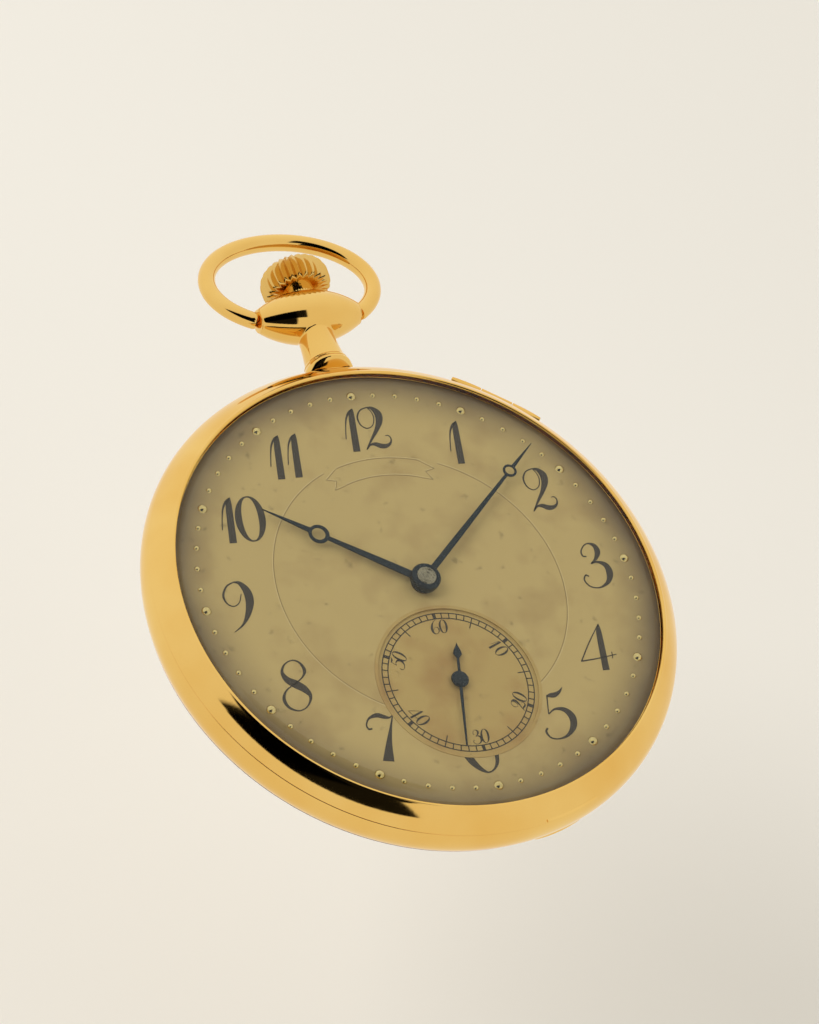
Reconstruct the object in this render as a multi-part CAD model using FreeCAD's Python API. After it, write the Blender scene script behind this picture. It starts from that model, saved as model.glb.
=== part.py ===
import FreeCAD, Part

import math
import os

os.makedirs("parts", exist_ok=True)

# Open face pocket watch, in millimetres.
# The watch is drawn with its dial in the plane z = 0, facing +z, with 12 o'clock towards +y.
# place() then lifts it so that the watch lies on its back, with the flat of the back on z = 0.

V = FreeCAD.Vector
UP = V(0, 0, 1)
ALONG_STEM = V(0, 1, 0)
TURN = 2 * math.pi

# ---- Driving dimensions: case -------------------------------------------------------------------
case_radius = 24.5
rim_z = -2.4            # height of the case's widest line, and of the stem's axis
seam_radius = 24.15
front_seam_z = -1.05
back_seam_z = -3.75
seam_gap = 0.04
back_z = -9.8           # flat of the back
back_land_radius = 6.0
cover_wall = 0.45
dust_cover_wall = 0.35
dust_cover_gap = 0.35
opening_radius = 22.15  # the bezel's opening over the crystal
rim_thickness = 0.65    # of the band's two upstanding rims
slip_gap = 0.04         # between the rims and the covers that snap on them

# ---- Driving dimensions: dial and crystal -------------------------------------------------------
dial_radius = 22.2
dial_thickness = 0.6
pearl_circle_radius = 20.2
pearl_radius = 0.5
small_pearl_radius = 0.29
seconds_y = -9.9
seconds_dial_radius = 7.55
seconds_dial_drop = 0.14
crystal_top_z = 2.6
crystal_wall = 0.6
crystal_edge = 0.35     # thickness of the edge held in the bezel's groove

# ---- Driving dimensions: pendant, bow, crown ----------------------------------------------------
pendant_y = 31.0        # the bow's pivot
bulb_half_length = 5.0
bulb_radius = 2.6
bulb_end_radius = 1.08
neck_foot_y = 24.45
neck_foot_radius = 2.15
neck_top_radius = 1.5
stem_bore_radius = 0.68
tube_radius = 1.0
bow_wire_radius = 0.82
bow_half_width = 8.15
bow_half_height = 6.1
bow_lean = 12.0         # degrees that the bow leans back at rest
bow_pin_radius = 0.5
bow_pin_length = 1.5
crown_radius = 3.3
crown_y = 33.8          # underside of the crown
crown_height = 3.35
crown_flutes = 26
crown_flute_depth = 0.38

# ---- Driving dimensions: hinges -----------------------------------------------------------------
hinge_clock = 37.5      # degrees clockwise from 12
hinge_radius = 23.75
hinge_half_length = 4.5
knuckle_radius = 0.6
hinge_pin_radius = 0.25
knuckle_gap = 0.06
lip_clock = 165.0
lip_half_angle = 6.5

# ---- Driving dimensions: movement ---------------------------------------------------------------
movement_radius = 21.4
plate_flange_radius = 22.15
plate_flange_thickness = 0.5
plate_bottom_z = -2.8
bridge_z = -4.9
bridge_top_z = -6.1
bridge_radius = 18.6
case_clearance = 0.05
pivot_clearance = 0.02
jewel_radius = 0.75
jewel_thickness = 0.5
screw_radius = 0.42
screw_head_radius = 0.85
screw_head_height = 0.4

# Teeth: module, then counts. Straight flanks, with play between them.
barrel_module = 0.2
centre_module = 0.17
third_module = 0.15
fourth_module = 0.125
winding_module = 0.25
cannon_module = 0.15
barrel_teeth = 84
centre_pinion_leaves = 12
centre_teeth = 80
third_pinion_leaves = 10
third_teeth = 75
fourth_pinion_leaves = 10
fourth_teeth = 80
escape_pinion_leaves = 8
escape_teeth = 15
ratchet_teeth = 54
crown_wheel_teeth = 39
cannon_leaves = 12
minute_teeth = 36
minute_pinion_leaves = 10
hour_teeth = 40
setting_teeth = 44
winding_pinion_teeth = 13
face_teeth = 36

# ---- Driving dimensions: hands ------------------------------------------------------------------
hand_thickness = 0.13
hour_hand_z = 0.5
minute_hand_z = 0.8
seconds_hand_z = 0.2
hour_clock = 306.0
minute_clock = 50.3
seconds_clock = 194.5


# ---- Helpers ------------------------------------------------------------------------------------
def clock_point(radius, clock, z=0.0, centre=(0.0, 0.0)):
    """The point at a radius from a centre, at an angle counted clockwise from 12 o'clock."""
    angle = math.radians(clock)
    return V(centre[0] + radius * math.sin(angle), centre[1] + radius * math.cos(angle), z)


def disc(radius, low, high, centre=(0.0, 0.0)):
    return Part.makeCylinder(radius, high - low, V(centre[0], centre[1], low), UP)


def ring(outer, inner, low, high, centre=(0.0, 0.0)):
    return disc(outer, low, high, centre).cut(disc(inner, low - 1, high + 1, centre))


def rod(radius, start, length, direction):
    return Part.makeCylinder(radius, length, start, direction)


def block(x_low, x_high, y_low, y_high, z_low, z_high):
    return Part.makeBox(x_high - x_low, y_high - y_low, z_high - z_low, V(x_low, y_low, z_low))


def fuse(shapes):
    shapes = list(shapes)
    first = shapes[0]
    if len(shapes) > 1:
        first = first.multiFuse(shapes[1:])
    return first.removeSplitter()


def cut(shape, tools):
    tools = list(tools)
    if tools:
        shape = shape.cut(tools)
    return shape


def prism(points, low, high):
    """A prism over a closed outline of (x, y) points."""
    corners = [V(x, y, low) for x, y in points]
    face = Part.Face(Part.makePolygon(corners + corners[:1]))
    return face.extrude(V(0, 0, high - low))


def spin(outline):
    """A solid of revolution about z. The outline is a list of (radius, z) corners and arc middles:
    an arc's middle is given as ("arc", radius, z) between its two end corners."""
    edges = []
    corner = None
    middle = None
    for item in outline + [outline[0]]:
        if item[0] == "arc":
            middle = V(item[1], 0, item[2])
            continue
        point = V(item[0], 0, item[1])
        if corner is not None:
            if middle is None:
                edges.append(Part.makeLine(corner, point))
            else:
                edges.append(Part.Arc(corner, middle, point).toShape())
        corner = point
        middle = None
    return Part.Face(Part.Wire(edges)).revolve(V(0, 0, 0), UP, 360)


def sector(radius, from_clock, to_clock, low, high, centre=(0.0, 0.0)):
    """A wedge of a large disc between two clock angles."""
    points = [centre]
    steps = max(2, math.ceil((to_clock - from_clock) / 30))
    reach = radius / math.cos(math.radians((to_clock - from_clock) / steps / 2))
    for step in range(steps + 1):
        clock = from_clock + (to_clock - from_clock) * step / steps
        point = clock_point(reach, clock, 0, centre)
        points.append((point.x, point.y))
    return prism(points, low, high)


def toothed(teeth, module, low, high, centre=(0.0, 0.0), phase=0.0):
    """A toothed disc. phase is the angle of one tooth's middle, in radians from +x."""
    pitch_radius = teeth * module / 2
    stations = [(pitch_radius - 1.05 * module, 0.56), (pitch_radius, 0.42),
                (pitch_radius + 0.7 * module, 0.24)]
    points = []
    for tooth in range(teeth):
        middle = phase + tooth * TURN / teeth
        for side, order in ((-1, stations), (1, stations[::-1])):
            for radius, share in order:
                angle = middle + side * share * math.pi * module / 2 / radius
                points.append((centre[0] + radius * math.cos(angle), centre[1] + radius * math.sin(angle)))
    return prism(points, low, high)


def spoked(wheel, inner, hub, arms, arm_width, low, high, centre):
    """A wheel's disc opened between its arms."""
    window = ring(inner, hub, low - 0.1, high + 0.1, centre)
    for arm in range(arms):
        bar = block(hub / 2, inner + 1, -arm_width / 2, arm_width / 2, low - 0.2, high + 0.2)
        bar.rotate(V(0, 0, 0), UP, 360 * arm / arms + 20)
        bar.translate(V(centre[0], centre[1], 0))
        window = window.cut(bar)
    return wheel.cut(window)


def angle_to(start, end):
    return math.atan2(end[1] - start[1], end[0] - start[0])


def meshed_phase(driver_teeth, driver_phase, driver_centre, teeth, centre):
    """The phase that puts this wheel's gap over the driver's tooth, or its tooth in the driver's gap."""
    line = angle_to(driver_centre, centre)
    offset = (line - driver_phase) * driver_teeth / TURN
    part_turn = offset - math.floor(offset)
    return line + math.pi + TURN / teeth * (part_turn + 0.5)


def spiral(centre, start_radius, pitch, turns, width, low, high, start=0.0):
    """A flat spiral strip, made of half circles about two centres a half pitch apart."""
    sides = []
    for edge_offset in (0.0, width):
        arcs = []
        radius = start_radius + edge_offset
        for half in range(int(turns * 2)):
            shift = 0.0 if half % 2 == 0 else pitch / 2
            sign = 1 if half % 2 == 0 else -1
            first = V(shift + sign * radius, 0, low)
            top = V(shift, sign * radius, low)
            last = V(shift - sign * radius, 0, low)
            arcs.append(Part.Arc(first, top, last).toShape())
            radius = radius + pitch / 2
        sides.append(arcs)
    inner, outer = sides
    start_cap = Part.makeLine(inner[0].Vertexes[0].Point, outer[0].Vertexes[0].Point)
    end_cap = Part.makeLine(inner[-1].Vertexes[-1].Point, outer[-1].Vertexes[-1].Point)
    wire = Part.Wire(Part.__sortEdges__(inner + outer + [start_cap, end_cap]))
    strip = Part.Face(wire).extrude(V(0, 0, high - low))
    strip.rotate(V(0, 0, 0), UP, start)
    strip.translate(V(centre[0], centre[1], 0))
    return strip


def bar_outline(start, end, start_radius, end_radius, low, high):
    """A flat bar with round ends that tapers from one radius to the other."""
    angle = angle_to(start, end)
    side = V(-math.sin(angle), math.cos(angle), 0)
    points = []
    for centre, radius, sign in ((start, start_radius, 1), (end, end_radius, 1), (end, end_radius, -1),
                                 (start, start_radius, -1)):
        points.append((centre[0] + side.x * radius * sign, centre[1] + side.y * radius * sign))
    return fuse([prism(points, low, high), disc(start_radius, low, high, start),
                 disc(end_radius, low, high, end)])


def hinge_frame(shape):
    """Moves a shape drawn with x outwards and y along the hinge to the hinge's place on the rim."""
    shape = shape.copy()
    shape.rotate(V(0, 0, 0), UP, 90 - hinge_clock)
    return shape


def place(shape):
    """The shape moved up so that the flat of the back lies on z = 0."""
    shape = shape.copy()
    shape.translate(V(0, 0, -back_z))
    return shape


def write(node, shape):
    for solid in shape.Solids:
        if not solid.isValid():
            raise ValueError(node + " is not a valid solid")
    solids = shape.Solids
    out = solids[0] if len(solids) == 1 else Part.makeCompound(solids)
    place(out).exportStep("parts/" + node + ".step")
    print(node, len(solids), round(sum(solid.Volume for solid in solids), 3))


# ---- Layout of the movement, seen from the dial -------------------------------------------------
def beyond(start, radius, clock):
    point = clock_point(radius, clock, 0, start)
    return (point.x, point.y)


def apex(first, first_reach, second, second_reach, side):
    """The point at two given distances from two centres, on one side of the line between them."""
    gap = math.hypot(second[0] - first[0], second[1] - first[1])
    along = (first_reach ** 2 - second_reach ** 2 + gap ** 2) / (2 * gap)
    across = math.sqrt(first_reach ** 2 - along ** 2) * side
    unit = ((second[0] - first[0]) / gap, (second[1] - first[1]) / gap)
    return (first[0] + unit[0] * along - unit[1] * across, first[1] + unit[1] * along + unit[0] * across)


centre_at = (0.0, 0.0)
fourth_at = (0.0, seconds_y)
barrel_at = beyond(centre_at, barrel_module * (barrel_teeth + centre_pinion_leaves) / 2, 58)
third_at = apex(centre_at, centre_module * (centre_teeth + third_pinion_leaves) / 2,
                fourth_at, third_module * (third_teeth + fourth_pinion_leaves) / 2, -1)
escape_radius = 2.55
pallet_reach = 2.95
fork_reach = 4.2
balance_radius = 6.5
balance_at = (8.6, -10.6)
escape_at = apex(fourth_at, fourth_module * (fourth_teeth + escape_pinion_leaves) / 2,
                 balance_at, pallet_reach + fork_reach, -1)
lever_line = angle_to(escape_at, balance_at)
pallet_at = (escape_at[0] + pallet_reach * math.cos(lever_line),
             escape_at[1] + pallet_reach * math.sin(lever_line))
winding_reach = winding_module * (ratchet_teeth + crown_wheel_teeth) / 2
crown_wheel_at = (0.0, barrel_at[1] + math.sqrt(winding_reach ** 2 - barrel_at[0] ** 2))
minute_wheel_at = (0.0, cannon_module * (cannon_leaves + minute_teeth) / 2)
hour_module = 2 * minute_wheel_at[1] / (minute_pinion_leaves + hour_teeth)
setting_at = (0.0, minute_wheel_at[1] + cannon_module * (minute_teeth + setting_teeth) / 2)
cock_foot_at = (15.6, -3.4)
face_radius = 4.5
pinion_y = crown_wheel_at[1] + face_radius

# Levels, counted down from the dial's face.
plate_top_z = -dial_thickness
motion_floor_z = -1.65
barrel_sink_z = -2.05
barrel_low_z = -2.15
barrel_top_z = -3.9
centre_wheel_z = -4.4
third_wheel_z = -3.3
fourth_wheel_z = -3.8
escape_wheel_z = -3.2
wheel_thickness = 0.2
balance_rim_z = -4.65
balance_rim_height = 0.6
cock_z = -5.15
winding_wheel_z = bridge_top_z + 0.1
winding_wheel_thickness = 0.5
barrel_radius = barrel_module * barrel_teeth / 2 - 0.35
barrel_room = barrel_module * barrel_teeth / 2 + 0.35


# ---- Case ---------------------------------------------------------------------------------------
def dome_edge(inset):
    """The back cover's domed line, set in by inset, from the flat to just short of the rim."""
    stations = [(back_land_radius, back_z, 90), (12.5, -9.2, 79), (20.3, -7.0, 62), (22.8, -5.25, 43)]
    points = []
    for radius, z, lean in stations:
        angle = math.radians(lean)
        points.append(V(radius - inset * math.cos(angle), 0, z + inset * math.sin(angle)))
    return points


def dome(outer_inset, inner_inset, rim):
    """A domed cover between two insets of the same line, closed at its rim by (radius, z) corners
    that run from the outside to the inside."""
    outside = dome_edge(outer_inset)
    if outer_inset == 0:
        outside.append(V(rim[0][0], 0, rim[0][1]))
        rim = rim[1:]
    inside = dome_edge(inner_inset)
    edges = []
    for points in (outside, inside):
        curve = Part.BSplineCurve()
        curve.interpolate(points)
        edges.append(curve.toShape())
        edges.append(Part.makeLine(V(0, 0, points[0].z), points[0]))
    edges.append(Part.makeLine(V(0, 0, outside[0].z), V(0, 0, inside[0].z)))
    corners = [outside[-1]] + [V(radius, 0, z) for radius, z in rim] + [inside[-1]]
    for start, end in zip(corners[:-1], corners[1:]):
        edges.append(Part.makeLine(start, end))
    wire = Part.Wire(Part.__sortEdges__(edges))
    return Part.Face(wire).revolve(V(0, 0, 0), UP, 360)


def knuckle(from_y, to_y, z):
    """One hinge barrel, drawn with x outwards, without its pin hole."""
    return rod(knuckle_radius, V(hinge_radius, from_y, z), to_y - from_y, ALONG_STEM)


def pin_hole(z, radius):
    return rod(radius, V(hinge_radius, -hinge_half_length - 1, z), 2 * hinge_half_length + 2, ALONG_STEM)


def hinge_relief(from_y, to_y, z):
    """The room that a hinge barrel turns in."""
    return rod(knuckle_radius + 0.08, V(hinge_radius, from_y, z), to_y - from_y, ALONG_STEM)


bezel_share = 1.55
front_z = front_seam_z
hinge_back_z = back_seam_z
half = hinge_half_length
shared = half * 0.6


def case_band():
    tongue = opening_radius + 0.1
    tongue_outer = tongue + rim_thickness
    body = spin([(seam_radius, front_seam_z), ("arc", case_radius, rim_z), (seam_radius, back_seam_z),
                 (tongue_outer, back_seam_z), (tongue_outer, back_seam_z - 0.55), (tongue,
                     back_seam_z - 0.55),
                 (tongue, plate_bottom_z), (movement_radius + case_clearance, plate_bottom_z),
                 (movement_radius + case_clearance, plate_top_z - plate_flange_thickness),
                 (tongue, plate_top_z - plate_flange_thickness), (tongue, front_seam_z + 0.8),
                 (tongue_outer, front_seam_z + 0.8), (tongue_outer, front_seam_z)])
    tools = [hinge_frame(hinge_relief(-half, half, front_z)),
             hinge_frame(hinge_relief(-half, half, hinge_back_z))]
    body = cut(body, tools)
    ends = []
    for low, high, z in ((-half, -bezel_share - knuckle_gap, front_z),
                         (bezel_share + knuckle_gap, half, front_z),
                         (-half, -shared - knuckle_gap, hinge_back_z), (shared + knuckle_gap, half,
                             hinge_back_z)):
        ends.append(knuckle(low, high, z))
        inward = 1 if z == hinge_back_z else -1
        web_low, web_high = sorted((z, z + inward * (knuckle_radius + 0.2)))
        ends.append(block(hinge_radius - 0.75, hinge_radius + 0.25, low, high, web_low, web_high))
    body = fuse([body] + [hinge_frame(end) for end in ends])
    holes = [hinge_frame(pin_hole(front_z, hinge_pin_radius)),
             hinge_frame(pin_hole(hinge_back_z, hinge_pin_radius)),
             rod(tube_radius, V(0, movement_radius - 1, rim_z), 6, ALONG_STEM)]
    body = cut(body, holes)
    return body


def screw_places():
    return [clock_point(movement_radius - 0.9, clock) for clock in (97.0, 262.0)]


def hinge_pins():
    pins = []
    for z in (front_z, hinge_back_z):
        pins.append(hinge_frame(rod(hinge_pin_radius, V(hinge_radius, -half, z), 2 * half, ALONG_STEM)))
    return Part.makeCompound(pins)


def moving_knuckle(body, low, high, z, web):
    """Adds a hinge barrel to a cover, with room for the pin to turn in."""
    barrel = fuse([hinge_frame(knuckle(low, high, z)), hinge_frame(web)])
    return fuse([body, barrel]).cut(hinge_frame(pin_hole(z, hinge_pin_radius + pivot_clearance)))


def bezel():
    ledge = opening_radius - 0.05
    groove = opening_radius + 0.32
    glass_low = 0.2
    glass_high = glass_low + crystal_edge + 0.01
    inner = opening_radius + 0.1 + rim_thickness + slip_gap
    body = spin([(seam_radius, front_seam_z + seam_gap), ("arc", 23.38, -0.02), (22.5, 0.7),
                 ("arc", 22.28, 0.77),
                 (opening_radius, 0.62), (opening_radius, glass_high), (groove, glass_high), (groove,
                     glass_low),
                 (ledge, glass_low), (ledge, 0.06), (opening_radius + 0.15, 0.06),
                 (opening_radius + 0.15, front_seam_z + 0.85), (inner, front_seam_z + 0.85),
                 (inner, front_seam_z + seam_gap)])
    notch = block(hinge_radius - 0.72, case_radius + 1, -half - 0.05, half + 0.05, front_z - 1,
                  front_z + 0.72)
    body = body.cut(hinge_frame(notch))
    web = block(hinge_radius - 0.74, hinge_radius, -bezel_share, bezel_share, front_z + 0.12, front_z + 0.8)
    body = moving_knuckle(body, -bezel_share, bezel_share, front_z, web)
    return fuse([body, thumb_lip(front_seam_z + seam_gap, 0.28)])


def thumb_lip(low, height):
    """A thin crescent that stands out from a cover's edge, for a thumb nail."""
    inner = seam_radius - 0.4
    lip = ring(seam_radius + 0.32, inner, low, low + height)
    return lip.common(sector(seam_radius + 3, lip_clock - lip_half_angle, lip_clock + lip_half_angle,
                             low - 1, low + 1))


def cap_middle(edge_radius, edge_z, top_z):
    """The arc middle that makes a spherical cap from its edge to its top on the axis."""
    rise = top_z - edge_z
    radius = (edge_radius ** 2 + rise ** 2) / (2 * rise)
    angle = math.asin(edge_radius / radius) / 2
    return ("arc", radius * math.sin(angle), top_z - radius * (1 - math.cos(angle)))


def crystal():
    edge = opening_radius + 0.3
    low = 0.2
    high = low + crystal_edge
    top = crystal_top_z
    shoulder = top - 1.03
    under_top = top - crystal_wall
    under_shoulder = shoulder - crystal_wall + 0.03
    return spin([(edge, low), (edge, high), (opening_radius - 0.06, high),
                 ("arc", 21.75, (high + shoulder) / 2 + 0.06),
                 (20.9, shoulder), cap_middle(20.9, shoulder, top), (0, top), (0, under_top),
                 cap_middle(20.7, under_shoulder, under_top), (20.7, under_shoulder),
                 ("arc", 21.45, (low + under_shoulder) / 2 + 0.02), (opening_radius - 0.2, low)])


def back_cover():
    top = back_seam_z - seam_gap
    rim_inner = opening_radius + 0.1 + rim_thickness + slip_gap
    body = dome(0, cover_wall, [(seam_radius, top), (rim_inner, top), (rim_inner, back_seam_z - 0.6)])
    notch = block(hinge_radius - 0.78, case_radius + 1, -half - 0.05, half + 0.05,
                  hinge_back_z - 0.8, hinge_back_z + 1)
    dust_notch = block(hinge_radius - 1.4, hinge_radius, -shared - 0.05, 0, hinge_back_z - 0.85,
                       hinge_back_z)
    body = cut(body, [hinge_frame(notch), hinge_frame(dust_notch)])
    web = block(hinge_radius - 0.78, hinge_radius, knuckle_gap / 2, shared, hinge_back_z - 1.15,
                hinge_back_z - 0.1)
    body = moving_knuckle(body, knuckle_gap / 2, shared, hinge_back_z, web)
    return fuse([body, thumb_lip(top - 0.28, 0.28)])


def dust_cover():
    seat_z = back_seam_z - 0.55 - 0.02
    flange = opening_radius + 0.45
    outer = cover_wall + dust_cover_gap
    body = dome(outer, outer + dust_cover_wall, [(flange - 0.25, seat_z - 0.2), (flange, seat_z - 0.2),
                                                 (flange, seat_z), (flange - 0.8, seat_z)])
    web = block(flange - 0.3, hinge_radius, -shared, -knuckle_gap / 2, seat_z - 0.2, seat_z)
    barrel = knuckle(-shared, -knuckle_gap / 2, hinge_back_z)
    body = fuse([body, hinge_frame(web), hinge_frame(barrel)])
    return body.cut(hinge_frame(pin_hole(hinge_back_z, hinge_pin_radius + pivot_clearance)))


# ---- Pendant, bow and crown ---------------------------------------------------------------------
def along_y(outline):
    """A solid of revolution about the stem's axis, from (radius, y) corners."""
    body = spin(outline)
    body.rotate(V(0, 0, 0), V(1, 0, 0), -90)
    body.translate(V(0, 0, rim_z))
    return body


def along_x(outline):
    """A solid of revolution about the bow's pivot, from (radius, x) corners."""
    body = spin(outline)
    body.rotate(V(0, 0, 0), V(0, 1, 0), 90)
    body.translate(V(0, pendant_y, rim_z))
    return body


def pendant():
    end = bulb_half_length
    bulb = along_x([(0, -end), (bulb_end_radius, -end), ("arc", bulb_radius * 0.83, -end * 0.55),
                    (bulb_radius, 0),
                    ("arc", bulb_radius * 0.83, end * 0.55), (bulb_end_radius, end), (0, end)])
    ring_y = neck_foot_y + 1.0
    neck = along_y([(0, neck_foot_y), (neck_foot_radius, neck_foot_y),
                    ("arc", neck_foot_radius - 0.05, ring_y - 0.5),
                    (neck_foot_radius - 0.2, ring_y), (neck_foot_radius - 0.28, ring_y + 0.12),
                    ("arc", neck_top_radius + 0.16, pendant_y - 3.6), (neck_top_radius, pendant_y - 2.2),
                    (neck_top_radius, pendant_y), (0, pendant_y)])
    root = block(-1.9, 1.9, case_radius - 1.2, neck_foot_y + 0.3, rim_z - 1.05, rim_z + 1.05)
    band_side = spin([(0, front_seam_z + 1), (seam_radius, front_seam_z + 1), (seam_radius, front_seam_z),
                      ("arc", case_radius, rim_z), (seam_radius, back_seam_z), (seam_radius,
                          back_seam_z - 1),
                      (0, back_seam_z - 1)])
    body = fuse([bulb, neck, root]).cut(band_side)
    crown_seat = rod(1.75, V(0, pendant_y + 1.7, rim_z), 3, ALONG_STEM)
    bore = rod(tube_radius, V(0, case_radius - 2, rim_z), 20, ALONG_STEM)
    body = cut(body, [crown_seat, bore])
    hole = bow_pin_radius + 0.03
    for side in (-1, 1):
        start = V(side * (end + 1), pendant_y, rim_z)
        body = body.cut(rod(hole, start, bow_pin_length + 1.1, V(-side, 0, 0)))
    return body


def pendant_tube():
    low = movement_radius + 0.1
    tube = rod(tube_radius, V(0, low, rim_z), pendant_y + 1.7 - low, ALONG_STEM)
    return tube.cut(rod(stem_bore_radius, V(0, low - 1, rim_z), 20, ALONG_STEM))


def bow():
    cut_x = bulb_half_length + 0.1
    centre = bow_half_height * math.sqrt(1 - (cut_x / bow_half_width) ** 2)
    start = math.asin(-centre / bow_half_height) - 0.12
    ellipse = Part.Ellipse(V(0, centre, 0), bow_half_width, bow_half_height)
    path = Part.Wire([Part.ArcOfEllipse(ellipse, start, math.pi - start).toShape()])
    edge = path.Edges[0]
    begin = edge.valueAt(edge.FirstParameter)
    heading = edge.tangentAt(edge.FirstParameter)
    section = Part.Wire([Part.makeCircle(bow_wire_radius, begin, heading)])
    loop = path.makePipeShell([section], True, True)
    keep_out = block(-cut_x, cut_x, -3, 2.2, -3, 3)
    loop = loop.cut(keep_out)
    pins = []
    for side in (-1, 1):
        pins.append(rod(bow_pin_radius, V(side * (cut_x + 0.5), 0, 0), bow_pin_length + 0.5,
                        V(-side, 0, 0)))
    body = fuse([loop] + pins)
    body.rotate(V(0, 0, 0), V(1, 0, 0), -bow_lean)
    body.translate(V(0, pendant_y, rim_z))
    return body


def crown():
    top = crown_y + crown_height
    onion = along_y([(0, crown_y), (2.1, crown_y), ("arc", crown_radius - 0.35, crown_y + 0.45),
                     (crown_radius, crown_y + 1.3), ("arc", crown_radius - 0.75, top - 0.65), (0.9,
                         top), (0, top)])
    points = []
    for flute in range(crown_flutes):
        for share, radius in ((0.0, crown_radius - crown_flute_depth), (0.5, crown_radius + 0.05)):
            angle = (flute + share) * TURN / crown_flutes
            points.append((radius * math.cos(angle), radius * math.sin(angle)))
    star = prism(points, -1, crown_height + 1)
    star.rotate(V(0, 0, 0), V(1, 0, 0), -90)
    star.translate(V(0, crown_y, rim_z))
    skirt = rod(1.5, V(0, pendant_y + 2.1, rim_z), 3, ALONG_STEM)
    core = rod(2.0, V(0, crown_y, rim_z), crown_height - 0.35, ALONG_STEM)
    body = fuse([onion.common(star), core.common(onion), skirt])
    return body.cut(rod(0.45, V(0, pendant_y + 1, rim_z), stem_end_y - pendant_y - 1, ALONG_STEM))


# ---- Dial and hands -----------------------------------------------------------------------------
def dial_foot_places():
    return [clock_point(movement_radius - 2.2, clock) for clock in (60.0, 160.0, 285.0)]


def dial():
    plate = disc(dial_radius, -dial_thickness, 0)
    feet = [disc(0.45, -2.0, -dial_thickness + 0.1, (point.x, point.y)) for point in dial_foot_places()]
    plate = fuse([plate] + feet)
    window = disc(seconds_dial_radius, -dial_thickness - 0.1, 0.1, fourth_at)
    return plate.cut([window, disc(1.05, -1, 1)])


def seconds_dial():
    top = -seconds_dial_drop
    plate = disc(seconds_dial_radius, -dial_thickness, top, fourth_at)
    border = ring(seconds_dial_radius, seconds_dial_radius - 0.3, -dial_thickness, 0.04, fourth_at)
    return fuse([plate, border]).cut(disc(0.35, -1, 1, fourth_at))


def minute_pearls():
    pearls = []
    for minute in range(60):
        big = minute % 5 == 0
        radius = pearl_radius if big else small_pearl_radius
        sink = radius * 0.45
        centre = clock_point(pearl_circle_radius, minute * 6)
        centre.z = -sink
        dome = Part.makeSphere(radius, centre)
        pearls.append(dome.common(disc(radius * 1.2, 0, 2, (centre.x, centre.y))))
    return Part.makeCompound(pearls)


def eye_hand(length, eye_at, eye_outer, eye_inner, boss, root_width, neck_width, low):
    """A hand with an open round eye, drawn towards +y."""
    tip_width = neck_width * 0.9
    shaft = [(-root_width / 2, 0), (root_width / 2, 0), (neck_width / 2, eye_at), (-neck_width / 2, eye_at)]
    tip = [(-tip_width / 2, eye_at), (tip_width / 2, eye_at), (0.05, length), (-0.05, length)]
    high = low + hand_thickness
    body = fuse([prism(shaft, low, high), prism(tip, low, high), disc(eye_outer, low, high, (0, eye_at)),
                 disc(boss, low, high)])
    return body.cut(disc(eye_inner, low - 1, high + 1, (0, eye_at + (eye_outer - eye_inner) * 0.25)))


def aimed(hand, clock, centre=(0.0, 0.0)):
    hand.rotate(V(0, 0, 0), UP, -clock)
    hand.translate(V(centre[0], centre[1], 0))
    return hand


def hour_hand():
    body = eye_hand(15.35, 9.98, 0.95, 0.6, 1.3, 0.8, 0.62, hour_hand_z)
    collar = disc(1.15, hour_hand_z - 0.15, hour_hand_z + hand_thickness)
    return aimed(fuse([body, collar]).cut(disc(hour_pipe_radius, -1, 2)), hour_clock)


def minute_hand():
    body = eye_hand(19.75, 15.6, 0.66, 0.46, 1.05, 0.62, 0.42, minute_hand_z)
    collar = disc(0.9, minute_hand_z - 0.1, minute_hand_z + hand_thickness)
    return aimed(fuse([body, collar]).cut(disc(cannon_radius, -1, 2)), minute_clock)


def seconds_hand():
    high = seconds_hand_z + hand_thickness * 0.7
    low = seconds_hand_z
    shaft = [(-0.13, -2.6), (0.13, -2.6), (0.05, 6.5), (-0.05, 6.5)]
    spade = [(-0.37, -2.55), (0, -2.25), (0.37, -2.55), (0, -3.6)]
    pipe = disc(0.72, low - 0.12, high + 0.1)
    body = fuse([prism(shaft, low, high), prism(spade, low, high), pipe])
    return aimed(body.cut(disc(seconds_pivot_radius, -1, 1)), seconds_clock, fourth_at)


# ---- Motion work --------------------------------------------------------------------------------
cannon_radius = 0.55
hour_pipe_radius = 0.85
seconds_pivot_radius = 0.16
centre_pivot_radius = 0.3
minute_post_radius = 0.3
setting_post_radius = 0.35
stem_end_y = crown_y + crown_height - 1.2

barrel_phase = 0.0
centre_pinion_phase = meshed_phase(barrel_teeth, barrel_phase, barrel_at, centre_pinion_leaves, centre_at)
centre_wheel_phase = 0.0
third_pinion_phase = meshed_phase(centre_teeth, centre_wheel_phase, centre_at, third_pinion_leaves,
                                  third_at)
third_wheel_phase = 0.0
fourth_pinion_phase = meshed_phase(third_teeth, third_wheel_phase, third_at, fourth_pinion_leaves,
                                   fourth_at)
fourth_wheel_phase = 0.0
escape_pinion_phase = meshed_phase(fourth_teeth, fourth_wheel_phase, fourth_at, escape_pinion_leaves,
                                   escape_at)
minute_phase = 0.0
cannon_phase = meshed_phase(minute_teeth, minute_phase, minute_wheel_at, cannon_leaves, centre_at)
minute_pinion_phase = 0.0
hour_phase = meshed_phase(minute_pinion_leaves, minute_pinion_phase, minute_wheel_at, hour_teeth, centre_at)
setting_phase = meshed_phase(minute_teeth, minute_phase, minute_wheel_at, setting_teeth, setting_at)
ratchet_phase = 0.0
crown_wheel_phase = meshed_phase(ratchet_teeth, ratchet_phase, barrel_at, crown_wheel_teeth, crown_wheel_at)


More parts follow.
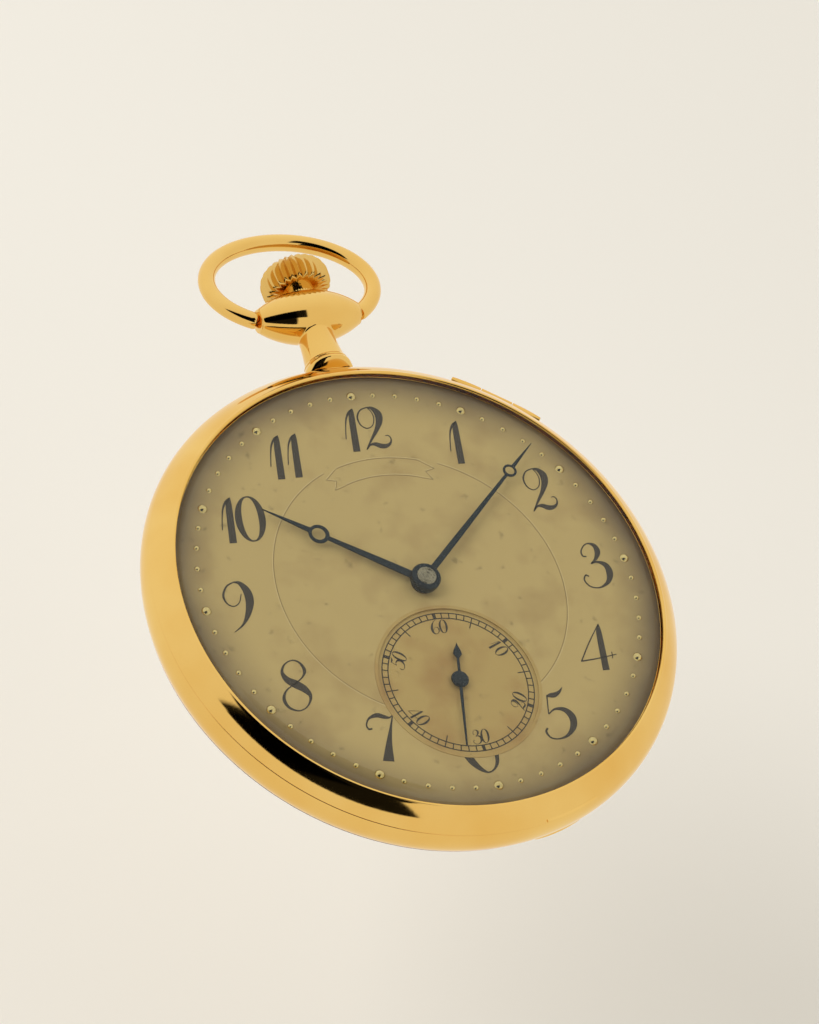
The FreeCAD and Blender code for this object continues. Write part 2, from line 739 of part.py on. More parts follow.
def cannon_pinion():
    leaves = toothed(cannon_leaves, cannon_module, motion_floor_z + 0.1, motion_floor_z + 0.55, centre_at,
                     cannon_phase)
    pipe = disc(cannon_radius, motion_floor_z + 0.1, minute_hand_z + hand_thickness + 0.2)
    bore = disc(centre_pivot_radius + pivot_clearance, motion_floor_z, minute_hand_z)
    return fuse([leaves, pipe]).cut(bore)


def hour_wheel():
    low = plate_top_z - 0.4
    wheel = toothed(hour_teeth, hour_module, low, low + wheel_thickness, centre_at, hour_phase)
    wheel = spoked(wheel, 2.1, 1.3, 4, 0.5, low, low + wheel_thickness, centre_at)
    pipe = disc(hour_pipe_radius, low, hour_hand_z + hand_thickness + 0.02)
    return fuse([wheel, pipe]).cut(disc(cannon_radius + pivot_clearance, -3, 3))


def minute_wheel():
    low = motion_floor_z + 0.25
    wheel = toothed(minute_teeth, cannon_module, low, low + wheel_thickness, minute_wheel_at, minute_phase)
    leaves = toothed(minute_pinion_leaves, hour_module, low + wheel_thickness - 0.02, plate_top_z - 0.14,
                     minute_wheel_at, minute_pinion_phase)
    return fuse([wheel, leaves]).cut(disc(minute_post_radius + pivot_clearance, -3, 0, minute_wheel_at))


def setting_wheel():
    low = motion_floor_z + 0.25
    wheel = toothed(setting_teeth, cannon_module, low, low + wheel_thickness, setting_at, setting_phase)
    return wheel.cut(disc(setting_post_radius + pivot_clearance, -3, 0, setting_at))


# ---- Going train --------------------------------------------------------------------------------
def arbor(centre, radius, low, high, pivot_radius, pivot_low, pivot_high):
    return [disc(radius, low, high, centre), disc(pivot_radius, pivot_low, pivot_high, centre)]


def centre_wheel():
    wheel = toothed(centre_teeth, centre_module, centre_wheel_z, centre_wheel_z + wheel_thickness,
                    centre_at,
                    centre_wheel_phase)
    wheel = spoked(wheel, 5.7, 1.5, 5, 0.55, centre_wheel_z, centre_wheel_z + wheel_thickness, centre_at)
    leaves = toothed(centre_pinion_leaves, barrel_module, centre_wheel_z + 0.1, -2.95, centre_at,
                     centre_pinion_phase)
    parts = arbor(centre_at, 0.8, centre_wheel_z - 0.35, -2.9, centre_pivot_radius, bridge_z - 0.45,
                  minute_hand_z - 0.1)
    return fuse([wheel, leaves] + parts)


def third_wheel():
    wheel = toothed(third_teeth, third_module, third_wheel_z, third_wheel_z + wheel_thickness, third_at,
                    third_wheel_phase)
    wheel = spoked(wheel, 4.7, 1.2, 5, 0.45, third_wheel_z, third_wheel_z + wheel_thickness, third_at)
    leaves = toothed(third_pinion_leaves, centre_module, centre_wheel_z - 0.2, centre_wheel_z + 0.4,
                     third_at,
                     third_pinion_phase)
    parts = arbor(third_at, 0.5, -4.8, -2.9, 0.16, bridge_z - 0.45, plate_bottom_z + 0.45)
    return fuse([wheel, leaves] + parts)


def fourth_wheel():
    wheel = toothed(fourth_teeth, fourth_module, fourth_wheel_z, fourth_wheel_z + wheel_thickness,
                    fourth_at,
                    fourth_wheel_phase)
    wheel = spoked(wheel, 4.2, 1.1, 5, 0.4, fourth_wheel_z, fourth_wheel_z + wheel_thickness, fourth_at)
    leaves = toothed(fourth_pinion_leaves, third_module, third_wheel_z - 0.15, third_wheel_z + 0.3,
                     fourth_at,
                     fourth_pinion_phase)
    parts = arbor(fourth_at, 0.42, -4.8, -2.9, seconds_pivot_radius, bridge_z - 0.45, seconds_hand_z + 0.2)
    return fuse([wheel, leaves] + parts)


def escape_wheel():
    low = escape_wheel_z
    rim = escape_radius - 0.62
    points = []
    for tooth in range(escape_teeth):
        start = tooth * TURN / escape_teeth
        for radius, turn in ((rim, -0.05), (escape_radius - 0.12, 0.045), (escape_radius, 0.12),
                             (rim, 0.09)):
            points.append((escape_at[0] + radius * math.cos(start + turn),
                           escape_at[1] + radius * math.sin(start + turn)))
    wheel = prism(points, low, low + wheel_thickness)
    wheel = spoked(wheel, rim - 0.3, 0.75, 4, 0.25, low, low + wheel_thickness, escape_at)
    leaves = toothed(escape_pinion_leaves, fourth_module, fourth_wheel_z - 0.15, fourth_wheel_z + 0.35,
                     escape_at,
                     escape_pinion_phase)
    parts = arbor(escape_at, 0.3, -4.8, -2.9, 0.12, bridge_z - 0.45, plate_bottom_z + 0.45)
    return fuse([wheel, leaves] + parts)


def lever_point(reach, turn):
    """A point about the pallet's axis; turn is counted from the line towards the balance."""
    angle = lever_line + math.radians(turn)
    return (pallet_at[0] + reach * math.cos(angle), pallet_at[1] + reach * math.sin(angle))


def pallet_stones(low, high):
    stones = []
    for side in (-1, 1):
        angle = lever_line + math.radians(side * 30)
        radius = escape_radius + 0.34
        inner = (escape_at[0] + radius * math.cos(angle), escape_at[1] + radius * math.sin(angle))
        outer = (escape_at[0] + (radius + 0.75) * math.cos(angle),
                 escape_at[1] + (radius + 0.75) * math.sin(angle))
        stones.append(bar_square(inner, outer, 0.3, low, high))
    return stones


def bar_square(start, end, width, low, high):
    angle = angle_to(start, end)
    side = (-math.sin(angle) * width / 2, math.cos(angle) * width / 2)
    points = [(start[0] + side[0], start[1] + side[1]), (end[0] + side[0], end[1] + side[1]),
              (end[0] - side[0], end[1] - side[1]), (start[0] - side[0], start[1] - side[1])]
    return prism(points, low, high)


def pallet_fork():
    low = escape_wheel_z - 0.02
    high = low + 0.24
    ends = [lever_point(1.62, side * 104) for side in (-1, 1)]
    arms = [bar_outline(pallet_at, end, 0.34, 0.3, low, high) for end in ends]
    notch_at = lever_point(fork_reach - 1.45, 0)
    shaft = bar_outline(pallet_at, notch_at, 0.3, 0.17, low, high)
    horns = []
    for side in (-1, 1):
        horns.append(bar_outline(notch_at, lever_point(fork_reach - 1.2, side * 9), 0.17, 0.1, low, high))
    parts = arbor(pallet_at, 0.24, -3.4, -2.9, 0.1, -3.85, plate_bottom_z + 0.45)
    return fuse(arms + [shaft] + horns + parts).cut(pallet_stones(low - 0.1, high + 0.1))


def pallet_jewels():
    low = escape_wheel_z - 0.02
    return Part.makeCompound(pallet_stones(low, low + 0.24))


def balance_wheel():
    low = balance_rim_z
    high = low + balance_rim_height
    rim = ring(balance_radius - 0.3, balance_radius - 1.0, low, high, balance_at)
    arm_low = low + 0.2
    arm_high = arm_low + 0.22
    arm = block(-balance_radius + 0.5, balance_radius - 0.5, -0.3, 0.3, arm_low, arm_high)
    arm.translate(V(balance_at[0], balance_at[1], 0))
    hub = disc(0.8, arm_low, arm_high + 0.05, balance_at)
    screws = []
    for place_number in range(14):
        angle = math.radians(place_number * 360 / 14 + 8)
        direction = V(math.cos(angle), math.sin(angle), 0)
        start = V(balance_at[0], balance_at[1], (low + high) / 2) + direction * (balance_radius - 0.5)
        screws.append(rod(0.24, start, 0.5, direction))
    return fuse([rim, arm, hub] + screws).cut(disc(0.35, -9, 0, balance_at))


def balance_staff():
    parts = arbor(balance_at, 0.35, -5.05, -2.9, 0.1, cock_z - 0.45, plate_bottom_z + 0.45)
    collet = disc(0.55, -5.05, -4.8, balance_at)
    return fuse(parts + [collet])


def roller():
    low = escape_wheel_z - 0.25
    body = disc(0.95, low, low + 0.2, balance_at)
    jewel_at = (balance_at[0] - 0.72 * math.cos(lever_line), balance_at[1] - 0.72 * math.sin(lever_line))
    pin = disc(0.12, low + 0.1, low + 0.5, jewel_at)
    return fuse([body, pin]).cut(disc(0.35, -9, 0, balance_at))


def hairspring():
    return spiral(balance_at, 0.62, 0.24, 11, 0.06, -5.02, -4.84, 40)


# ---- Barrel -------------------------------------------------------------------------------------
def barrel_drum():
    low = barrel_low_z
    wall = ring(barrel_radius, barrel_radius - 0.35, barrel_top_z + 0.3, low, barrel_at)
    floor = disc(barrel_radius, low - 0.25, low, barrel_at)
    teeth = toothed(barrel_teeth, barrel_module, barrel_top_z + 0.1, barrel_top_z + 0.5, barrel_at,
                    barrel_phase)
    teeth = teeth.cut(disc(barrel_radius - 0.35, barrel_top_z, low, barrel_at))
    return fuse([wall, floor, teeth]).cut(disc(barrel_arbor_radius + pivot_clearance, -9, 0, barrel_at))


def barrel_cover():
    cover = disc(barrel_radius - 0.36, barrel_top_z + 0.08, barrel_top_z + 0.28, barrel_at)
    return cover.cut(disc(barrel_arbor_radius + pivot_clearance, -9, 0, barrel_at))


barrel_arbor_radius = 0.95


def barrel_arbor():
    body = disc(barrel_arbor_radius, bridge_z - 0.5, barrel_low_z + 0.03, barrel_at)
    core = disc(2.1, barrel_top_z + 0.34, barrel_low_z - 0.31, barrel_at)
    square = block(-0.6, 0.6, -0.6, 0.6, winding_wheel_z - 0.05, bridge_z - 0.4)
    square.translate(V(barrel_at[0], barrel_at[1], 0))
    pivot = disc(0.45, barrel_low_z, barrel_sink_z + 0.35, barrel_at)
    return fuse([body, core, square, pivot])


def mainspring():
    coil_pitch = 0.42
    turns = 12
    return spiral(barrel_at, 2.25, coil_pitch, turns, 0.18, barrel_top_z + 0.36, barrel_low_z - 0.33)


# ---- Winding works ------------------------------------------------------------------------------
def ratchet_wheel():
    low = winding_wheel_z
    wheel = toothed(ratchet_teeth, winding_module, low, low + winding_wheel_thickness, barrel_at,
                    ratchet_phase)
    hole = block(-0.62, 0.62, -0.62, 0.62, low - 1, low + 1)
    hole.translate(V(barrel_at[0], barrel_at[1], 0))
    return wheel.cut(hole)


def ratchet_screw():
    low = winding_wheel_z - 0.06
    head = disc(1.5, low - 0.35, low, barrel_at)
    slot = block(-2, 2, -0.15, 0.15, low - 0.5, low - 0.2)
    slot.translate(V(barrel_at[0], barrel_at[1], 0))
    return head.cut(slot)


def crown_wheel():
    low = winding_wheel_z
    high = low + winding_wheel_thickness
    wheel = toothed(crown_wheel_teeth, winding_module, low, high, crown_wheel_at, crown_wheel_phase)
    skirt_bottom = face_root_z
    skirt = ring(face_radius + 0.35, face_radius - 0.35, high, skirt_bottom, crown_wheel_at)
    parts = [wheel, skirt]
    for tooth in range(face_teeth):
        angle = tooth * TURN / face_teeth + math.pi / 2
        outline = [(-0.17, skirt_bottom - 0.1), (0.17, skirt_bottom - 0.1), (0.09, face_tip_z),
                   (-0.09, face_tip_z)]
        corners = [V(x, face_radius - 0.35, z) for x, z in outline]
        face = Part.Face(Part.makePolygon(corners + corners[:1]))
        peg = face.extrude(V(0, 0.7, 0))
        peg.rotate(V(0, 0, 0), UP, math.degrees(angle - math.pi / 2))
        peg.translate(V(crown_wheel_at[0], crown_wheel_at[1], 0))
        parts.append(peg)
    return fuse(parts).cut(disc(2.0, -9, 0, crown_wheel_at))


winding_pitch_radius = face_radius * winding_pinion_teeth / face_teeth
winding_tip_radius = winding_pitch_radius + 0.08
winding_root_radius = winding_pitch_radius - 0.28
face_tip_z = rim_z - winding_pitch_radius + 0.08
face_root_z = rim_z - winding_tip_radius - 0.12


def crown_wheel_core():
    low = winding_wheel_z - 0.05
    post = disc(1.95, low, winding_wheel_z + winding_wheel_thickness + 0.08, crown_wheel_at)
    cap = disc(2.7, low - 0.25, low, crown_wheel_at)
    slot = block(-3, 3, -0.2, 0.2, low - 0.4, low - 0.1)
    slot.translate(V(crown_wheel_at[0], crown_wheel_at[1], 0))
    return fuse([post, cap]).cut(slot)


def turned_prism(points, from_y, to_y, roll):
    """A prism along the stem from an outline about its axis."""
    body = prism(points, 0, to_y - from_y)
    body.rotate(V(0, 0, 0), UP, roll)
    body.rotate(V(0, 0, 0), V(1, 0, 0), -90)
    body.translate(V(0, from_y, rim_z))
    return body


def winding_pinion():
    points = []
    for tooth in range(winding_pinion_teeth):
        middle = tooth * TURN / winding_pinion_teeth
        for radius, offset in ((winding_root_radius, -0.62), (winding_tip_radius, -0.22),
                               (winding_tip_radius, 0.22),
                               (winding_root_radius, 0.62)):
            angle = middle + offset * math.pi / winding_pinion_teeth
            points.append((radius * math.cos(angle), radius * math.sin(angle)))
    # A gap between two teeth faces the crown wheel's nearest face tooth.
    roll = 90 + 180 / winding_pinion_teeth
    leaves = turned_prism(points, pinion_y - 0.3, pinion_y + 0.3, roll)
    hub = rod(clutch_radius, V(0, pinion_y - 1.35, rim_z), 1.1, ALONG_STEM)
    collar = rod(0.9, V(0, pinion_y + 0.3, rim_z), 0.25, ALONG_STEM)
    return fuse([leaves, hub, collar]).cut(rod(stem_radius + pivot_clearance, V(0, 0, rim_z), 40,
                                               ALONG_STEM))


stem_radius = 0.6
stem_square = 0.8
stem_pilot_radius = 0.34
groove_radius = 0.36
groove_y = 19.2
groove_width = 0.6
stem_pull = 1.0
clutch_length = 2.0
clutch_radius = 0.95
clutch_start_y = pinion_y - 1.45 - clutch_length
clutch_shift = 0.9


def winding_stem():
    square_start = clutch_start_y - clutch_shift - 0.04
    shank_start = clutch_start_y + clutch_length
    side = stem_square / 2
    pilot = rod(stem_pilot_radius, V(0, 11.9, rim_z), square_start - 11.8, ALONG_STEM)
    square = block(-side, side, square_start, shank_start, rim_z - side, rim_z + side)
    shank = rod(stem_radius, V(0, shank_start, rim_z), pendant_y + 2 - shank_start, ALONG_STEM)
    thread = rod(0.44, V(0, pendant_y + 1.9, rim_z), stem_end_y - pendant_y - 2.0, ALONG_STEM)
    body = fuse([pilot, square, shank, thread])
    groove = rod(2, V(0, groove_y - groove_width / 2, rim_z), groove_width, ALONG_STEM)
    groove = groove.cut(rod(groove_radius, V(0, groove_y - 2, rim_z), 4, ALONG_STEM))
    return body.cut(groove)


def sliding_clutch():
    start = clutch_start_y
    body = rod(clutch_radius, V(0, start, rim_z), clutch_length, ALONG_STEM)
    middle = start + clutch_length * 0.5
    groove = rod(2, V(0, middle - 0.3, rim_z), 0.6,
                 ALONG_STEM).cut(rod(0.78, V(0, middle - 1, rim_z), 2, ALONG_STEM))
    side = stem_square / 2 + 0.03
    hole = block(-side, side, start - 1, start + clutch_length + 1, rim_z - side, rim_z + side)
    return cut(body, [groove, hole])


lever_plate_low = -1.3
lever_plate_high = -0.9
setting_lever_pivot = (-4.0, groove_y + stem_pull / 2)
yoke_pivot = (4.2, clutch_start_y + clutch_length / 2 - clutch_shift / 2)


def plate_lever(pivot, tip_at, width, pin_radius, pin_low, tail):
    body = bar_outline(pivot, tip_at, 0.75, width, lever_plate_low, lever_plate_high)
    tail_bar = bar_outline(pivot, tail, 0.75, 0.3, lever_plate_low, lever_plate_high)
    pin = disc(pin_radius, pin_low, lever_plate_low + 0.1, tip_at)
    return fuse([body, tail_bar, pin]).cut(disc(0.35 + pivot_clearance, -3, 0, pivot))


def setting_lever():
    return plate_lever(setting_lever_pivot, (0, groove_y), 0.4, 0.17, rim_z + groove_radius + 0.06,
                       (-5.6, groove_y - 1.2))


def yoke():
    tip = (0, clutch_start_y + clutch_length / 2)
    return plate_lever(yoke_pivot, tip, 0.4, 0.18, rim_z + 0.78 + 0.06, (5.4, yoke_pivot[1] + 2.2))


def click():
    reach = winding_module * ratchet_teeth / 2 + 0.7 * winding_module + 0.06
    tip = clock_point(reach + 0.25, click_clock, 0, barrel_at)
    low = winding_wheel_z
    body = bar_outline(click_pivot, (tip.x, tip.y), 0.7, 0.22, low, low + 0.45)
    return body.cut(disc(0.35 + pivot_clearance, -9, 0, click_pivot))


click_clock = 285.0
click_point = clock_point(winding_module * ratchet_teeth / 2 + 1.6, click_clock - 18, 0, barrel_at)
click_pivot = (click_point.x, click_point.y)


def click_spring():
    low = winding_wheel_z + 0.05
    foot = (click_pivot[0] - 3.2, click_pivot[1] + 0.6)
    blade = bar_square((click_pivot[0] - 0.15, click_pivot[1] + 1.2), foot, 0.14, low, low + 0.3)
    return fuse([blade, disc(0.5, low, low + 0.3, foot)])


# ---- Plates, bridges, screws and jewels ---------------------------------------------------------
def train_outline(low, high):
    body = disc(bridge_radius, low, high).common(block(-19, 5.2, -19, 1.3, low - 1, high + 1))
    away = [disc(7.4, low - 1, high + 1, barrel_at), disc(5.2, low - 1, high + 1, balance_at)]
    return cut(body, away)


def barrel_outline(low, high):
    upper = disc(bridge_radius, low, high).common(block(-19, 19, 1.6, 19, low - 1, high + 1))
    around = disc(7.2, low, high, barrel_at).common(disc(bridge_radius, low, high))
    return fuse([upper, around])


def keyless_room():
    """The room under the dial and in the bridge for the stem, its pinion, the clutch and the levers."""
    rooms = [
        rod(winding_tip_radius + 0.12, V(0, pinion_y - 0.45, rim_z), 1.1, ALONG_STEM),
        rod(clutch_radius + 0.12, V(0, clutch_start_y - clutch_shift - 0.1, rim_z),
            pinion_y - clutch_start_y + clutch_shift, ALONG_STEM),
        rod(stem_radius + 0.03, V(0, pinion_y, rim_z), 8, ALONG_STEM),
        rod(stem_pilot_radius + 0.03, V(0, 11.7, rim_z), 3, ALONG_STEM),
    ]
    pocket = block(-6.5, 6.6, clutch_start_y - 1.2, groove_y + 1.6, lever_plate_low - 0.1, 0)
    well = block(-0.4, 0.4, groove_y - 0.4, groove_y + stem_pull + 0.4, rim_z, 0)
    yoke_well = block(-0.5, 0.5, clutch_start_y - 0.2, clutch_start_y + clutch_length + 0.2, rim_z, 0)
    pocket = pocket.common(disc(movement_radius - 0.25, -3, 1))
    return rooms + [pocket, well, yoke_well]


def screw_list():
    """Bridge screws: the place and the bridge's level that each one holds."""
    places = []
    for clock in (-40.0, 20.0, -75.0):
        point = clock_point(bridge_radius - 1.5, clock)
        places.append((point.x, point.y))
    for clock in (210.0, 252.0):
        point = clock_point(bridge_radius - 1.5, clock)
        places.append((point.x, point.y))
    return places


def arbors():
    """Each jewelled arbor: its place, pivot radius, and whether it passes through the plate."""
    return [(third_at, 0.16, False), (fourth_at, seconds_pivot_radius, True), (escape_at, 0.12, False)]


def mainplate():
    body = fuse([disc(movement_radius, plate_bottom_z, plate_top_z),
                 disc(plate_flange_radius, plate_top_z - plate_flange_thickness, plate_top_z)])
    tools = [
        disc(3.3, motion_floor_z, 0, centre_at),
        disc(3.05, motion_floor_z, 0, minute_wheel_at),
        disc(3.6, motion_floor_z, 0, setting_at),
        disc(barrel_room, plate_bottom_z - 1, barrel_sink_z, barrel_at),
        disc(0.45 + pivot_clearance, -3, barrel_sink_z + 0.36, barrel_at),
        disc(centre_pivot_radius + pivot_clearance, -3, 0, centre_at),
        disc(0.85, plate_bottom_z - 1, plate_bottom_z + 0.15, centre_at),
    ]
    for place_at, radius, through in arbors() + [(pallet_at, 0.1, False), (balance_at, 0.1, False)]:
        tools.append(disc(jewel_radius, plate_bottom_z - 1, plate_bottom_z + jewel_thickness, place_at))
        if through:
            tools.append(disc(radius + 0.15, plate_bottom_z, 1, place_at))
    for point in dial_foot_places():
        tools.append(disc(0.47, -2.1, 0, (point.x, point.y)))
    for place_at in screw_list() + [cock_foot_at, pallet_foot_at()]:
        tools.append(disc(screw_radius, plate_bottom_z - 1, plate_bottom_z + 1.2, place_at))
    for point in screw_places():
        tools.append(disc(screw_radius, plate_bottom_z - 1, plate_bottom_z + 1.2, (point.x, point.y)))
    tools += keyless_room()
    body = cut(body, tools)
    posts = [disc(minute_post_radius, motion_floor_z - 0.1, plate_top_z - 0.1, minute_wheel_at),
             disc(setting_post_radius, motion_floor_z - 0.1, plate_top_z - 0.1, setting_at)]
    for pivot in (setting_lever_pivot, yoke_pivot):
        posts.append(disc(0.35, lever_plate_low - 0.2, lever_plate_high, pivot))
    return fuse([body] + posts)


def bridge_jewel_holes(places):
    return [disc(jewel_radius, bridge_z - jewel_thickness, bridge_z + 1,
                 place_at) for place_at in places] + [
        disc(jewel_radius * 0.8, bridge_top_z - 1, bridge_z, place_at) for place_at in places]


def screw_holes(places):
    holes = []
    for place_at in places:
        holes.append(disc(screw_radius, bridge_top_z - 1, plate_bottom_z + 1, place_at))
        holes.append(disc(screw_head_radius + 0.04, bridge_top_z - 1, bridge_top_z + screw_head_height,
                          place_at))
    return holes


def train_bridge():
    foot = ring(bridge_radius, bridge_radius - 2.6, bridge_z - 0.1, plate_bottom_z)
    foot = foot.common(sector(30, 196, 266, -9, 0))
    body = fuse([train_outline(bridge_top_z, bridge_z), foot])
    tools = bridge_jewel_holes([third_at, fourth_at, escape_at])
    tools.append(disc(centre_pivot_radius + pivot_clearance, bridge_top_z - 1, bridge_z + 1, centre_at))
    tools.append(disc(1.0, bridge_top_z - 1, bridge_top_z + 0.5, centre_at))
    tools += screw_holes(screw_list()[3:])
    return cut(body, tools)


def barrel_bridge():
    solid_foot = disc(bridge_radius, bridge_z - 0.1, plate_bottom_z).common(block(-19, 19, 8.6, 19, -9, 0))
    solid_foot = solid_foot.cut(disc(barrel_room + 0.1, -9, 0, barrel_at))
    side_foot = ring(bridge_radius, bridge_radius - 2.6, bridge_z - 0.1, plate_bottom_z)
    side_foot = side_foot.common(sector(30, 277, 300, -9, 0))
    body = fuse([barrel_outline(bridge_top_z, bridge_z), solid_foot, side_foot])
    sink_z = winding_wheel_z + winding_wheel_thickness + 0.08
    ratchet_room = winding_module * ratchet_teeth / 2 + 0.7 * winding_module + 0.1
    crown_room = winding_module * crown_wheel_teeth / 2 + 0.7 * winding_module + 0.1
    tools = [
        disc(ratchet_room, -9, sink_z, barrel_at),
        disc(crown_room, -9, sink_z, crown_wheel_at),
        ring(face_radius + 0.5, face_radius - 0.5, -9, face_tip_z + 0.12, crown_wheel_at),
        disc(barrel_arbor_radius + pivot_clearance, -9, 0, barrel_at),
        block(click_pivot[0] - 4.1, click_pivot[0] + 2, click_pivot[1] - 1.2, click_pivot[1] + 3.2, -9,
              sink_z),
    ]
    tools += screw_holes(screw_list()[:3])
    tools += keyless_room()[:4]
    body = cut(body, tools)
    post = disc(0.35, winding_wheel_z, sink_z + 0.1, click_pivot)
    return fuse([body, post])


def cock_solid():
    top = bar_outline(cock_foot_at, balance_at, 1.9, 1.7, bridge_top_z, cock_z)
    foot = disc(1.9, cock_z - 0.1, plate_bottom_z, cock_foot_at)
    return fuse([top, foot])


def balance_cock():
    tools = [disc(jewel_radius, cock_z - jewel_thickness, cock_z + 1, balance_at),
             disc(jewel_radius * 0.8, bridge_top_z - 1, cock_z, balance_at)]
    tools += screw_holes([cock_foot_at])
    return cut(cock_solid(), tools)


def regulator():
    low = bridge_top_z - 0.28
    high = bridge_top_z - 0.04
    index = bar_outline(balance_at, (balance_at[0] - 3.4, balance_at[1] - 1.4), 1.35, 0.12, low, high)
    tail = bar_outline(balance_at, (balance_at[0] + 0.4, balance_at[1] + 2.9), 1.35, 0.3, low, high)
    return fuse([index, tail]).cut(disc(0.85, low - 1, high + 1, balance_at))


pallet_screw_z = -3.98


def pallet_foot_at():
    return (pallet_at[0] + 2.9 * math.sin(lever_line), pallet_at[1] - 2.9 * math.cos(lever_line))


def pallet_cock():
    foot_at = pallet_foot_at()
    top = bar_outline(pallet_at, foot_at, 0.62, 0.95, -3.85, -3.45)
    foot = disc(0.95, -3.5, plate_bottom_z, foot_at)
    tools = [disc(0.1 + pivot_clearance, -4.5, -3, pallet_at), disc(screw_radius, -5, 0, foot_at),
             disc(0.74, -5, pallet_screw_z + screw_head_height, foot_at)]
    return cut(fuse([top, foot]), tools)


def jewels():
    """Ring stones of the plate, the bridges and the balance cock."""
    stones = []
    for place_at, radius, through in arbors() + [(pallet_at, 0.1, False), (balance_at, 0.1, False)]:
        hole = radius + pivot_clearance
        stones.append(ring(jewel_radius, hole, plate_bottom_z, plate_bottom_z + jewel_thickness, place_at))
    for place_at, radius, through in arbors():
        stones.append(ring(jewel_radius, radius + pivot_clearance, bridge_z - jewel_thickness, bridge_z,
                           place_at))
    stones.append(ring(jewel_radius, 0.1 + pivot_clearance, cock_z - jewel_thickness, cock_z, balance_at))
    return Part.makeCompound(stones)


def screw(place_at, head_low, head_radius, reach, turn):
    head = disc(head_radius, head_low, head_low + screw_head_height, place_at)
    shank = disc(screw_radius - 0.02, head_low + 0.1, reach, place_at)
    slot = block(-2, 2, -0.1, 0.1, head_low - 0.1, head_low + 0.14)
    slot.rotate(V(0, 0, 0), UP, turn)
    slot.translate(V(place_at[0], place_at[1], 0))
    return fuse([head, shank]).cut(slot)


def bridge_screws():
    turn_step = 41
    screws = []
    for number, place_at in enumerate(screw_list() + [cock_foot_at]):
        screws.append(screw(place_at, bridge_top_z, screw_head_radius, plate_bottom_z + 1.1,
                            number * turn_step))
    screws.append(screw(pallet_foot_at(), pallet_screw_z, 0.7, plate_bottom_z + 1.1, 15))
    return Part.makeCompound(screws)


def case_screws():
    screws = []
    for number, point in enumerate(screw_places()):
        place_at = (point.x, point.y)
        screws.append(screw(place_at, plate_bottom_z - screw_head_height, 1.4, plate_bottom_z + 1.1,
                            30 + number * 65))
    return Part.makeCompound(screws)


# ---- Write every sub-part -----------------------------------------------------------------------
makers = [case_band, pendant, pendant_tube, hinge_pins, bezel, crystal, back_cover, dust_cover, bow, crown,
          dial, seconds_dial, minute_pearls, hour_hand, minute_hand, seconds_hand,
          cannon_pinion, hour_wheel, minute_wheel, setting_wheel,
          centre_wheel, third_wheel, fourth_wheel, escape_wheel, pallet_fork, pallet_jewels,
          balance_wheel, balance_staff, roller, hairspring,
          barrel_drum, barrel_cover, barrel_arbor, mainspring,
          ratchet_wheel, ratchet_screw, crown_wheel, crown_wheel_core, winding_pinion, winding_stem,
          sliding_clutch, setting_lever, yoke, click, click_spring,
          mainplate, train_bridge, barrel_bridge, balance_cock, regulator, pallet_cock, jewels,
          bridge_screws, case_screws]
for maker in makers:
    write(maker.__name__, maker())
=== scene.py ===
# %% [markdown]
# # An open face pocket watch, finished in Blender
#
# The watch's mechanism and case already exist as a CAD model, which is the frame here. This lesson
# gives that frame its looks. Each step first says what the piece is on a real watch, how it could be
# made, and why one way was chosen. Lengths in the lists are millimetres on the watch: x towards
# 3 o'clock, y towards 12, z out of the dial towards the reader.

# %% Load the frame
import bpy
import bmesh
import math
from mathutils import Matrix, Vector


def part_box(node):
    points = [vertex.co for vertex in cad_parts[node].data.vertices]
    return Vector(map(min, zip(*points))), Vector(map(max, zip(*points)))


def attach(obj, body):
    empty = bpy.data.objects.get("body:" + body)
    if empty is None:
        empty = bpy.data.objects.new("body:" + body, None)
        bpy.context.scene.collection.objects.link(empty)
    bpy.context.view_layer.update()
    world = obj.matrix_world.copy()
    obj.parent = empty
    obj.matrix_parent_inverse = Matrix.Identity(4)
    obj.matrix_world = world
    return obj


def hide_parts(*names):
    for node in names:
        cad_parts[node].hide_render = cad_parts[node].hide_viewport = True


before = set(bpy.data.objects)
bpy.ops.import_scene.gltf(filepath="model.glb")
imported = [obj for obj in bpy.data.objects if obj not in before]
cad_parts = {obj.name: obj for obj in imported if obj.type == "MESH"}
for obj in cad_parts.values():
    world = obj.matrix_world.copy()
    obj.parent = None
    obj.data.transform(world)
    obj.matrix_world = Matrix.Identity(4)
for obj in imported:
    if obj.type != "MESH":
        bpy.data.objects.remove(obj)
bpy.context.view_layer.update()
mm = 0.001

# %% [markdown]
# ## From the watch's own measures to the frame
# The CAD model lies on its back: the dial faces up, 12 o'clock is towards +Y, and the flat of the back is
# at height nothing. The lists below count heights from the dial's face instead, so one function turns a
# point of the watch into a point of the frame. The face's height is read from the CAD dial.

# %% Places on the watch
dial_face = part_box("dial")[1][2]
rim_z = -2.4
pendant_y = 31.0
seconds_y = -9.9


def watch(x, y, z):
    """A point of the watch in millimetres as a point of the frame in metres."""
    return Vector((x * mm, y * mm, dial_face + z * mm))


def clock(radius, degrees, z=0.0, centre=(0.0, 0.0)):
    """A point at an angle clockwise from 12."""
    turn = math.radians(degrees)
    return (centre[0] + radius * math.sin(turn), centre[1] + radius * math.cos(turn), z)


print("dial face at height", round(dial_face, 5))

# %% [markdown]
# ## Colours and nodes
# Painters and watchmakers pick colours as sRGB hex. Shaders want linear light, so one function
# converts. Materials are node trees, and one small function adds a node with its settings and links.

# %% Colour and node helpers


def linear(code):
    """An sRGB hex colour as linear red, green, blue, alpha."""
    values = []
    for start in (0, 2, 4):
        value = int(code[start:start + 2], 16) / 255
        values.append(value / 12.92 if value <= 0.04045 else ((value + 0.055) / 1.055) ** 2.4)
    return (*values, 1.0)


